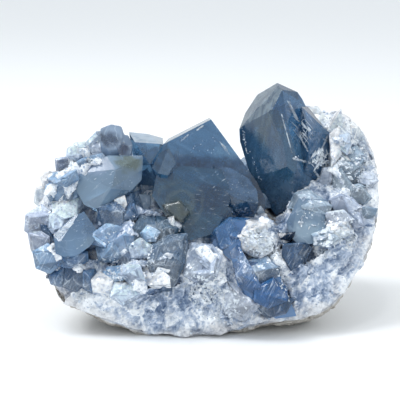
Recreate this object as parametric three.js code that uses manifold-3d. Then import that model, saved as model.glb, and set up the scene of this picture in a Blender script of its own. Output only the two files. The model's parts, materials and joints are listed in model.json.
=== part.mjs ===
// Celestite geode: a piece of a hollow nodule, broken open. A thick granular wall stands inside a thin
// rind, small crystals line the hollow, and large blue crystals stand out of it.
// Millimetres, +Z up. The broken side faces -Y. It rests on a flat spot worn on the rind, at z = 0.
import * as THREE from "three";
import { ConvexGeometry } from "three/addons/geometries/ConvexGeometry.js";
import { ImprovedNoise } from "three/addons/math/ImprovedNoise.js";
import { mergeVertices } from "three/addons/utils/BufferGeometryUtils.js";
import Module from "manifold-3d";

const wasm = await Module();
wasm.setup();

// ---- Driving dimensions ----

const GAP = 0.3; // clearance between a crystal and what it is seated in

// The broken edge of the rind, from the left side down, round to the right and over the top.
const RIM = [
  [-58.5, -8, 46], [-59.2, -14, 39], [-57.5, -19, 31], [-54.5, -22, 26], [-51.5, -24, 21.5],
  [-47.5, -26, 17.2], [-42, -27, 14.3], [-35.5, -28, 12.4], [-29, -28, 9.6], [-21.5, -28, 6.8],
  [-13.6, -28, 5.8], [-2, -28, 5.8], [8, -28, 7], [18.4, -28, 10], [27.8, -28, 11.3],
  [35, -27, 12], [41, -26, 14.2], [46.6, -24, 19], [51.1, -20, 25.1], [55.5, -16, 31.9],
  [59, -11, 39.4], [60.8, -5, 47], [61.3, 1, 54], [60.8, 8, 61], [58.9, 15, 66.9],
  [56, 19, 70.5], [51.5, 23, 74], [45, 26, 75.5], [38.7, 26, 74.5], [31, 26, 69.5],
  [24, 26, 62], [15, 26, 57], [4, 27, 54], [-14, 26, 57], [-27, 22, 61],
  [-38, 15, 61.5], [-48, 7, 58], [-55, 0, 53],
];
const BOWL_CENTRE = [0, -4, 38]; // the rind closes like a bowl from the rim about this point
const BOWL_DEPTH = [2, 31, -20]; // and this far behind it
const BOWL_ROUND = 0.88; // under 1 is fuller than an ellipse
const FACE_CENTRE = [3, -20, 29]; // the broken face rises from the rim to this point
const FACE_BULGE = 1.5;
const FACE_ROUGH = 1.3; // how far its broken facets stand in and out
const FACE_GRAIN = 3.1; // and how wide they are
const BUMP_HEIGHT = 1.5; // how far the rind's lumps stand out
const BUMP_SPAN = 13;

const HOLLOW_CENTRE = [1, 1, 66.5];
const HOLLOW_RADII = [41, 27, 28];
const HOLLOW_WAVE = 0.05; // the hollow's surface swells and sinks by this share of its radii
const HOLLOW_WAVE_SPAN = 0.6;
const CRUST_THICK = 2.4;
const CRUST_ROOT = 3; // the middles of the crust's crystals lie this far inside the hollow's surface

const AROUND = 56; // facets round the nodule
const FROM_FRONT_TO_BACK = 26;

const FLAT_AT = 4.8; // the flat spot is worn this high above the rim's own datum
const FAR = 100; // past the whole piece

const SHOULDER = 0.22; // a small crystal's chisel faces start this far past its middle, of its length
const CHISEL_SPAN = 0.7; // and its tip edge is this much of its width

const FACE_LUMPS = 34; // broken lumps on the face
const LUMP_SMALLEST = 3;
const LUMP_RANGE = 4; // the largest is this much larger
const LUMP_CORNERS = 11;
const BLOCK_CORNERS = 16;
const CRUST_CRYSTALS = 44;
const CRUST_NARROWEST = 3;
const CRUST_RANGE = 3.5;

// The large crystals, each the corners of one or more grown-together blocks.
const CRYSTALS = {
  broad_crystal: [
    [
      [1.6, 3, 74.4], [0.8, 10, 73.6], [-14.8, 0, 66], [-12.6, 9, 67.2],
      [15.8, -2, 56.5], [15, 9, 56.5], [21.3, -4.8, 46.8], [20, 6, 46],
      [-17.5, -5.6, 50], [-16, 6, 50], [-12, -8.4, 40], [20, -6.3, 42],
      [-12, 6, 40], [-6, -2, 34], [12, -2, 34], [0, 6, 34],
    ],
    [
      [3, -5.5, 59.6], [8.7, -6, 58.9], [14.9, -8, 55.8], [17.9, -10.6, 51.8],
      [18.2, -13.1, 47.9], [13.2, -12.6, 48.7], [8.6, -11.5, 50.3], [4.9, -9.9, 52.9],
      [4, 2, 58], [16, 2, 54], [19, -2, 46], [6, 0, 48], [17, -11, 43], [8, -10, 43], [5, -8, 46],
    ],
    [
      [-16.8, -8, 57], [-8, -8.5, 60], [5, -7.5, 58.5], [9, -10.4, 50.5], [7, -12.6, 43.5],
      [-13.6, -13, 43.5], [-18.3, -10, 50], [-14, 0, 56], [2, 0, 54], [-12, -2, 42], [6, -2, 42],
    ],
    [
      [-11, -12.5, 46.5], [8.5, -12.2, 46.5], [11, -12, 42.5], [3, -16.2, 38], [-6, -17, 35.5],
      [-11, -14, 40], [-8, -4, 36], [6, -4, 37], [-8, -4, 46], [6, -4, 46],
    ],
    [
      [-12.9, -6, 65.7], [-10.1, -8, 61.2], [-9.8, -8, 59.6], [-12.8, -10, 56.9],
      [-16.2, -10, 57.8], [-18.4, -8, 59.3], [-16, -6, 64], [-13, 0, 62], [-17, 0, 60],
      [-11, -2, 57], [-14, -4, 50],
    ],
  ],
  tall_crystal: [
    [
      [12.2, 6, 70.9], [15.6, 3, 73.6], [19.3, 3.2, 79.8], [26.9, 2, 85.2], [25.8, 8, 86.8],
      [19.6, 13, 82.6], [14.4, 11.5, 75.6], [32.6, 7, 83.8], [35.8, 7.5, 78.3],
      [23.3, -2.5, 79], [28.3, -5.5, 74.5], [30.9, -8.5, 60], [29.8, -8.3, 61],
      [14.6, 4, 60], [16.5, 3, 53], [41, 5, 60], [41, 4, 50], [29, 19, 76], [29, 20, 50],
      [18, 15, 52], [38, 15, 52], [21, 2, 46], [31, -4, 47], [40, 3, 46],
      [24, 14, 38], [36, 14, 38], [26, 2, 40], [36, 2, 40],
    ],
    [
      [33.5, 0, 79.5], [36.3, 8, 78.4], [44.8, 8, 68.6], [45.1, 6, 57], [36, -6, 62],
      [35.4, -4.5, 72], [43, 15, 60], [36, 16, 70], [34, -4, 56], [42, 4, 52], [38, 14, 48],
    ],
  ],
  back_left_crystal: [
    [
      [-27.1, 8, 68.8], [-20.7, 8.5, 68.8], [-15.1, 10, 66.6], [-24.8, 4, 66.4],
      [-14.9, 4, 65.4], [-19.4, 0.5, 58.9], [-24.5, 2, 58], [-27, 15, 66], [-16, 16, 64],
      [-24, 6, 48], [-16, 6, 48], [-20, 12, 46],
    ],
  ],
  cap_crystal: [
    [
      [-36.2, -2, 72.3], [-32.9, 0, 73.4], [-29.2, 0, 72.7], [-28.2, -1, 70], [-29.5, -5, 66],
      [-33, -6.5, 65], [-36.5, -5, 67], [-36, 4, 71], [-30, 5, 71],
      [-35, 0, 54], [-30, 0, 54], [-33, 5, 54],
    ],
    [
      [-29.5, -1, 69.5], [-27, -0.5, 70], [-25.2, -2.5, 66.5], [-25.6, -4, 63.5],
      [-29, -6, 62.5], [-30.5, -5, 65], [-26, 3, 66], [-28, 0, 54], [-26, -2, 55],
    ],
  ],
  left_crystal: [
    [
      [-44.2, -14, 56], [-42.2, -14, 58.7], [-33.6, -10, 63.6], [-24.6, -6, 63.4],
      [-21.5, -6, 63], [-21.7, -8, 58.8], [-21.9, -9, 55.4], [-25.3, -12, 54],
      [-25.5, -13, 52.2], [-32.4, -17, 49.1], [-36.2, -18, 47.3], [-38.4, -18, 47.5],
      [-40.9, -18, 48.4], [-43.7, -16, 52.8], [-30.4, -15, 60.1], [-31.7, -19, 54.3],
      [-28, -13, 58], [-34, -4, 62], [-24, 0, 61], [-42, -6, 56], [-38, -10, 44], [-28, -4, 46],
    ],
  ],
  lower_left_crystal: [
    [
      [-44.2, -20, 45], [-41, -19, 46.4], [-36.2, -21, 40], [-36.7, -23, 38.3],
      [-38.4, -26, 36.1], [-42.8, -29, 33.5], [-47.1, -29, 33.2], [-49.7, -28, 34.1],
      [-49, -26, 37.7], [-50.9, -24, 39.4], [-45.5, -20, 44.4],
      [-40, -12, 40], [-46, -12, 38], [-42, -16, 31], [-48, -16, 35],
    ],
  ],
  low_crystal: [
    [
      [2, -20.5, 35.4], [6.2, -18.5, 41.6], [14, -18.5, 43], [11.7, -23.5, 36.4],
      [10.2, -27, 30.6], [7.1, -25, 32.2], [8, -10, 38], [14, -10, 38], [12, -14, 28],
    ],
    [
      [9.5, -27.5, 31.8], [16.9, -27, 31], [24, -26.5, 28.3], [25.2, -28.5, 24.3],
      [28.5, -29.5, 18], [30.4, -29, 13.1], [23.7, -29.5, 12], [17.2, -31, 15.9],
      [15.2, -32, 20.6], [10.5, -30.5, 24.2], [12, -16, 28], [24, -16, 26],
      [26, -18, 16], [16, -18, 16],
    ],
  ],
  right_crystal: [
    [
      [27.5, -16.5, 42], [32, -12, 49.5], [42, -10, 48.5], [42, -14, 41], [37.5, -19.5, 35.5],
      [32, -20.5, 35], [28.5, -19.5, 38], [34, -3, 47], [41, -3, 43], [36, -7, 32],
      [31, -8, 34],
    ],
  ],
};

// Smaller crystals that are set in the broken face and the rim.
const SET_CRYSTALS = [
  { at: [-54.7, -4, 56.5], along: [-0.2, -0.3, 1], size: [6.5, 6, 10], spin: 0.2 },
  { at: [-48.5, -4, 57], along: [0.05, -0.3, 1], size: [7, 6, 10], spin: 0.1 },
  { at: [-55.6, -10, 48.5], along: [-0.6, -0.6, 0.4], size: [7, 6, 9], spin: 0.4 },
  { at: [-57.5, -13, 42], along: [-0.8, -0.6, 0.1], size: [5.5, 4.5, 8], spin: 0.9 },
  { at: [-57, -17, 35], along: [-0.8, -0.5, 0], size: [5.5, 5, 8], spin: 0.3 },
  { at: [-54, -20, 29], along: [-0.8, -0.6, -0.1], size: [6, 5, 8], spin: 1.2 },
  { at: [-51.6, -25, 32], along: [-0.5, -0.8, -0.1], size: [6.5, 6, 8], spin: 0.6 },
  { at: [-49.1, -11, 52], along: [-0.3, -0.7, 0.6], size: [5.5, 4.5, 9], spin: 0.5 },
  { at: [-46.8, -14, 47.5], along: [0.2, -0.7, 0.6], size: [5.5, 4.5, 9], spin: 1.1 },
  { at: [-50.9, -16.5, 44.5], along: [-0.3, -0.8, 0.4], size: [6, 5, 9], spin: 0.2 },
  { at: [-31.6, -16.5, 45], along: [0.2, -0.7, 0.6], size: [10, 7, 13], spin: 0.3 },
  { at: [-26.3, -14.5, 47], along: [0.1, -0.4, 0.9], size: [7.5, 6.5, 13], spin: 0.8 },
  { at: [-19.3, -11, 50], along: [-0.1, -0.3, 1], size: [7.5, 6.5, 17], spin: 0.5 },
  { at: [-18.3, -19.5, 39.5], along: [0, -0.6, 0.8], size: [7.5, 6.5, 11], spin: 0.2 },
  { at: [-22.6, -22, 35], along: [0.1, -0.9, 0.4], size: [6, 6, 9], spin: 0.7 },
  { at: [-29.3, -21.5, 37.5], along: [-0.3, -0.8, 0.4], size: [12.5, 9, 13], spin: 0.45 },
  { at: [-12.2, -21.5, 32], along: [0.05, -0.35, 0.93], size: [10.5, 8.5, 16], spin: 0.1 },
  { at: [-16.8, -26, 26], along: [0.2, -0.9, 0.3], size: [11, 6, 9], spin: 0.3 },
  { at: [-12.7, -16, 41.5], along: [-0.2, -0.5, 0.8], size: [7, 5.5, 10], spin: 0.6 },
  { at: [-47.5, -24, 24.4], along: [-0.4, -0.8, 0], size: [10, 8, 10], spin: 0.5 },
  { at: [-38.9, -7.5, 61], along: [-0.2, -0.4, 0.9], size: [9, 7, 11], spin: 0.4 },
  { at: [-46, -7.5, 55], along: [-0.1, -0.5, 0.8], size: [6, 5, 9], spin: 0.9 },
  { at: [31.3, -17, 31], along: [0.1, -0.8, 0.5], size: [9.5, 6, 9], spin: 0.4 },
  { at: [27.5, -17, 33], along: [-0.3, -0.8, 0.4], size: [5, 5, 8], spin: 0.9 },
  { at: [50.9, 0, 54.5], along: [0.1, -0.7, 0.5], size: [7, 6, 10], spin: 0.3 },
  { at: [55.5, 6.5, 62], along: [0.2, -0.6, 0.6], size: [6, 6, 9], spin: 0.7 },
];

// Blocks of granular stone that stand out of the broken face: middle and half sizes.
const STONE_BLOCKS = [
  [[4, -21.5, 21.5], [13, 8, 15]],
  [[19.5, -17, 36.5], [6.5, 6, 6.5]],
  [[26.5, -18, 29], [5.5, 8, 6]],
  [[-31, -23, 19], [15, 7, 9]],
  [[-44.6, 2, 61], [5, 4, 5.5]],
  [[44, -13, 30], [10, 7, 12]],
  [[48, 13, 64], [8, 8, 9]],
];

// Clefts between the blocks: the corners of what is missing.
const CLEFTS = [
  [
    [-10, -40, 27], [-6, -40, 27], [-10.5, -40, 9], [-6, -40, 9],
    [-8, -21, 27], [-8.5, -21, 9],
  ],
  [
    [19, -30, 50], [30, -30, 50], [21, -30, 38], [28, -30, 38],
    [20, 6, 50], [29, 6, 50], [22, 6, 40], [27, 6, 40],
  ],
];

// ---- Chance, noise and solids ----

const noise = new ImprovedNoise();

// A repeatable source of numbers from 0 to 1.
function chance(seed) {
  let state = seed;
  return () => {
    state = (state + 0x6d2b79f5) | 0;
    let t = Math.imul(state ^ (state >>> 15), 1 | state);
    t = (t + Math.imul(t ^ (t >>> 7), 61 | t)) ^ t;
    return ((t ^ (t >>> 14)) >>> 0) / 4294967296;
  };
}

function vec(p) {
  return new THREE.Vector3(p[0], p[1], p[2]);
}

function noiseAt(p, span) {
  return noise.noise(p.x / span, p.y / span, p.z / span);
}

// Lumps of about `span` across with finer ones on them, from about -1 to 1.
function lumps(p, span) {
  return noiseAt(p, span) + 0.45 * noiseAt(p, span / 2.3);
}

function solid(geometry) {
  const plain = geometry.clone();
  plain.deleteAttribute("normal");
  plain.deleteAttribute("uv");
  const merged = mergeVertices(plain, 1e-4);
  return new wasm.Manifold(
    new wasm.Mesh({
      numProp: 3,
      vertProperties: new Float32Array(merged.attributes.position.array),
      triVerts: new Uint32Array(merged.index.array),
    }),
  );
}

function joined(solids) {
  return solids.reduce((all, next) => all.add(next));
}

function meshOf(name, made, material) {
  const mesh = made.getMesh();
  const geometry = new THREE.BufferGeometry();
  geometry.setAttribute("position", new THREE.BufferAttribute(mesh.vertProperties, 3));
  geometry.setIndex(new THREE.BufferAttribute(mesh.triVerts, 1));
  geometry.computeVertexNormals();
  const piece = new THREE.Mesh(geometry, material);
  piece.name = name;
  return piece;
}

// The convex solid round some points, grown outwards by `grow`.
function hull(points, grow = 0) {
  const all = [];
  for (const p of points) {
    if (grow === 0) {
      all.push(vec(p));
      continue;
    }
    for (const dx of [-grow, grow]) {
      for (const dy of [-grow, grow]) {
        for (const dz of [-grow, grow]) {
          all.push(new THREE.Vector3(p[0] + dx, p[1] + dy, p[2] + dz));
        }
      }
    }
  }
  return solid(new ConvexGeometry(all));
}

// ---- The wall ----

const rim = new THREE.CatmullRomCurve3(RIM.map(vec), true, "catmullrom", 0.5);

// A point of the broken face: t runs round the rim, and k from its middle, 0, to the rim, 1.
function onFace(t, k) {
  const centre = vec(FACE_CENTRE);
  const point = rim.getPointAt(t % 1).lerp(centre, 1 - k);
  const bulge = FACE_BULGE * Math.sin(Math.PI * k);
  point.y -= bulge;
  point.z += bulge * 0.2;
  return point;
}

// A point of the rind: a runs from the rim, 0, to the back of the bowl, a quarter turn.
function onRind(t, a) {
  const centre = vec(BOWL_CENTRE);
  const spread = Math.pow(Math.max(Math.cos(a), 0), BOWL_ROUND);
  const depth = Math.pow(Math.sin(a), BOWL_ROUND);
  const point = rim.getPointAt(t % 1).sub(centre).multiplyScalar(spread).add(centre);
  point.addScaledVector(vec(BOWL_DEPTH), depth);
  const out = point.clone().sub(centre).normalize();
  const clearOfRim = Math.min(1, 3 * a);
  return point.addScaledVector(out, BUMP_HEIGHT * lumps(point, BUMP_SPAN) * clearOfRim);
}

// The whole nodule piece: a sphere whose front half is laid on the broken face and back half on the rind.
function nodule() {
  const sphere = new THREE.SphereGeometry(1, AROUND, FROM_FRONT_TO_BACK);
  const at = sphere.attributes.position;
  for (let i = 0; i < at.count; i++) {
    const v = new THREE.Vector3().fromBufferAttribute(at, i);
    const polar = Math.acos(THREE.MathUtils.clamp(v.y, -1, 1));
    const turn = Math.atan2(v.z, v.x) / (2 * Math.PI);
    const t = (1 - turn) % 1;
    const k = polar / (Math.PI / 2);
    const p = k < 1 ? onFace(t, k) : onRind(t, polar - Math.PI / 2);
    if (k < 1) {
      p.y += FACE_ROUGH * lumps(p, FACE_GRAIN);
    }
    at.setXYZ(i, p.x, p.y, p.z);
  }
  return solid(sphere);
}

// The hollow, with its surface moved out by `grow`.
function hollow(grow) {
  const ball = new THREE.IcosahedronGeometry(1, 5);
  const at = ball.attributes.position;
  for (let i = 0; i < at.count; i++) {
    const v = new THREE.Vector3().fromBufferAttribute(at, i).normalize();
    const wave = 1 + HOLLOW_WAVE * lumps(v, HOLLOW_WAVE_SPAN);
    at.setXYZ(
      i,
      HOLLOW_CENTRE[0] + v.x * (HOLLOW_RADII[0] * wave + grow),
      HOLLOW_CENTRE[1] + v.y * (HOLLOW_RADII[1] * wave + grow),
      HOLLOW_CENTRE[2] + v.z * (HOLLOW_RADII[2] * wave + grow),
    );
  }
  return solid(ball);
}

// A box to cut or keep with, from its lowest to its highest corner.
function block(low, high) {
  const size = vec(high).sub(vec(low));
  const box = new THREE.BoxGeometry(size.x, size.y, size.z);
  box.translate((low[0] + high[0]) / 2, (low[1] + high[1]) / 2, (low[2] + high[2]) / 2);
  return solid(box);
}

// ---- Crystals ----

// One blocky crystal with a chisel tip: `at` is its middle and `along` its long axis.
function chisel({ at, along, size, spin }) {
  const [wide, thick, long] = size;
  const up = vec(along).normalize();
  const turn = new THREE.Quaternion().setFromUnitVectors(new THREE.Vector3(0, 0, 1), up);
  turn.multiply(new THREE.Quaternion().setFromAxisAngle(new THREE.Vector3(0, 0, 1), spin));
  const local = [];
  for (const sx of [-0.5, 0.5]) {
    for (const sy of [-0.5, 0.5]) {
      local.push([sx * wide, sy * thick, -0.5 * long]);
      local.push([sx * wide, sy * thick, SHOULDER * long]);
    }
    local.push([sx * wide * CHISEL_SPAN, 0, 0.5 * long]);
  }
  const points = local.map((p) => vec(p).applyQuaternion(turn).add(vec(at)).toArray());
  return hull(points);
}

// A broken lump of granular stone: a hull of `corners` points wound round a squashed ball.
function lump(at, radii, corners, random) {
  const turnBetween = Math.PI * (3 - Math.sqrt(5));
  const points = [];
  for (let i = 0; i < corners; i++) {
    const lift = 2 * ((i + random()) / corners) - 1;
    const ring = Math.sqrt(1 - lift * lift);
    const angle = turnBetween * i + random();
    points.push([
      at[0] + radii[0] * ring * Math.cos(angle),
      at[1] + radii[1] * ring * Math.sin(angle),
      at[2] + radii[2] * lift,
    ]);
  }
  return hull(points);
}

function grown(parts) {
  return joined(parts.map((points) => hull(points, GAP)));
}

const crystals = {};
for (const [name, parts] of Object.entries(CRYSTALS)) {
  crystals[name] = joined(parts.map((points) => hull(points)));
}
// Where two large crystals meet, the later one keeps the gap.
const names = Object.keys(CRYSTALS);
for (let i = 1; i < names.length; i++) {
  for (let j = 0; j < i; j++) {
    crystals[names[i]] = crystals[names[i]].subtract(grown(CRYSTALS[names[j]]));
  }
}

const worn = block([-FAR, -FAR, -FAR], [FAR, FAR, FLAT_AT]);

// ---- The wall's broken face: lumps of granular stone, and the small crystals set in it ----

function faceLumps() {
  const random = chance(7);
  const made = [];
  for (let i = 0; i < FACE_LUMPS; i++) {
    const at = onFace(random(), 0.45 + 0.53 * Math.sqrt(random()));
    const size = LUMP_SMALLEST + LUMP_RANGE * random() * random();
    made.push(lump(at.toArray(), [size, 0.6 * size, 0.8 * size], LUMP_CORNERS, random));
  }
  return made;
}

let wall = nodule();
wall = wall.add(joined(faceLumps()));
wall = wall.add(joined(SET_CRYSTALS.map(chisel)));
STONE_BLOCKS.forEach(([at, radii], i) => {
  wall = wall.add(lump(at, radii, BLOCK_CORNERS, chance(31 + i)));
});
for (const points of CLEFTS) {
  wall = wall.subtract(hull(points));
}
wall = wall.subtract(hollow(GAP)).subtract(worn);
for (const name of names) {
  wall = wall.subtract(grown(CRYSTALS[name]));
}

// ---- The crust that lines the hollow ----

function crustCrystals() {
  const random = chance(21);
  const made = [];
  for (let i = 0; i < CRUST_CRYSTALS; i++) {
    const around = 2 * Math.PI * random();
    const lift = -0.95 + 1.05 * random();
    const ring = Math.sqrt(1 - lift * lift);
    const out = new THREE.Vector3(ring * Math.cos(around), ring * Math.sin(around), lift);
    const at = [
      HOLLOW_CENTRE[0] + out.x * (HOLLOW_RADII[0] - CRUST_ROOT),
      HOLLOW_CENTRE[1] + out.y * (HOLLOW_RADII[1] - CRUST_ROOT),
      HOLLOW_CENTRE[2] + out.z * (HOLLOW_RADII[2] - CRUST_ROOT),
    ];
    const along = [0.5 * random() - 0.25 - out.x, 0.5 * random() - 0.25 - out.y, 0.4 - out.z];
    const wide = CRUST_NARROWEST + CRUST_RANGE * random();
    const size = [wide, 0.7 * wide, 1.6 * wide + 2];
    made.push(chisel({ at, along, size, spin: Math.PI * random() }));
  }
  return made;
}

let crust = hollow(0).subtract(hollow(-CRUST_THICK));
crust = crust.add(joined(crustCrystals()).intersect(hollow(0)));
crust = crust.intersect(nodule());
for (const points of CLEFTS) {
  crust = crust.subtract(hull(points));
}
for (const name of names) {
  crust = crust.subtract(grown(CRYSTALS[name]));
}

// The piece itself, without the chips that a cut leaves loose beside it.
function largest(made) {
  return made.decompose().reduce((a, b) => (a.volume() > b.volume() ? a : b));
}

const stone = new THREE.MeshStandardMaterial({ color: "#cfdae8", roughness: 0.75 });
const blue = new THREE.MeshStandardMaterial({ color: "#4f6c8f", roughness: 0.12 });
const pale = new THREE.MeshStandardMaterial({ color: "#8fa9c2", roughness: 0.2 });
const PALE_CRYSTALS = ["cap_crystal", "left_crystal", "right_crystal"];

const geode = new THREE.Group();
geode.position.z = -FLAT_AT;
geode.add(meshOf("geode_wall", largest(wall), stone));
geode.add(meshOf("crystal_crust", largest(crust), pale));
for (const name of names) {
  const material = PALE_CRYSTALS.includes(name) ? pale : blue;
  geode.add(meshOf(name, largest(crystals[name]), material));
}
export default geode;
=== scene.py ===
import bisect
import json
import math
import random

import bmesh
import bpy
import numpy as np
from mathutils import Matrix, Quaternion, Vector, noise
from mathutils.bvhtree import BVHTree

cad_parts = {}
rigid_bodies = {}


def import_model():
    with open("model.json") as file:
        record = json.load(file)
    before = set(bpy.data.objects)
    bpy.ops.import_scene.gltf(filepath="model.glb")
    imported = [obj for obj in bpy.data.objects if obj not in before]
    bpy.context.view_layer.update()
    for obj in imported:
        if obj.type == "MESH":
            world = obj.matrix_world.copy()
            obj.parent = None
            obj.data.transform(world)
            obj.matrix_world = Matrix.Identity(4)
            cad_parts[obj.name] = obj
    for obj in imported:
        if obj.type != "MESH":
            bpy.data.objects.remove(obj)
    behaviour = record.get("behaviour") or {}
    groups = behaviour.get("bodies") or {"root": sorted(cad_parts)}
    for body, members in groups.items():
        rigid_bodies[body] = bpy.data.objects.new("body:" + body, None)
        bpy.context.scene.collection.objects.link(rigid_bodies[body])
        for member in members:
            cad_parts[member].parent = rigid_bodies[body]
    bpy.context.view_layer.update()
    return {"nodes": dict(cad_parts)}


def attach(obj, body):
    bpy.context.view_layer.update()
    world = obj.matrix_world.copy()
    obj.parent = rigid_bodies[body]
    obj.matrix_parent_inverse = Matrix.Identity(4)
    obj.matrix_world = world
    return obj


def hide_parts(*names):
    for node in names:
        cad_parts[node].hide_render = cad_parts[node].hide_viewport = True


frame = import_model()

# ---- Sizes and places, in millimetres ----

MM = 0.001
FLAT_AT = 4.8  # the flat spot is worn this high above the datum of the tables
EYE = (-1.8, -391.3, 129.5)  # outlines given by x and z alone are seen from here, through the plane y = 0

# The broken edge of the rind, from the left side down, round to the right and over the top.
RIM = [
    (-58.5, -8, 46), (-59.2, -14, 39), (-57.5, -19, 31), (-54.5, -22, 26), (-51.5, -24, 21.5),
    (-47.5, -26, 17.2), (-42, -27, 14.3), (-35.5, -28, 12.4), (-29, -28, 9.6), (-21.5, -28, 6.8),
    (-13.6, -28, 5.8), (-2, -28, 5.8), (8, -28, 7), (18.4, -28, 10), (27.8, -28, 11.3),
    (35, -27, 12), (41, -26, 14.2), (46.6, -24, 19), (51.1, -20, 25.1), (55.5, -16, 31.9),
    (59, -11, 39.4), (60.8, -5, 47), (61.3, 1, 54), (60.8, 8, 61), (58.9, 15, 66.9),
    (56, 19, 70.5), (51.5, 23, 74), (45, 26, 75.5), (38.7, 26, 74.5), (31, 26, 69.5),
    (24, 26, 62), (15, 26, 57), (4, 27, 54), (-14, 26, 57), (-27, 22, 61),
    (-38, 15, 61.5), (-48, 7, 58), (-55, 0, 53),
]
BOWL_CENTRE = (0, -4, 38)  # the rind closes like a bowl from the rim about this point
FACE_MIDDLE = (5.1, -5.3, 38.5)  # the broken face leans back: it passes through this point,
FACE_LOOKS = (0, -0.739, 0.674)  # square to this direction

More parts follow.
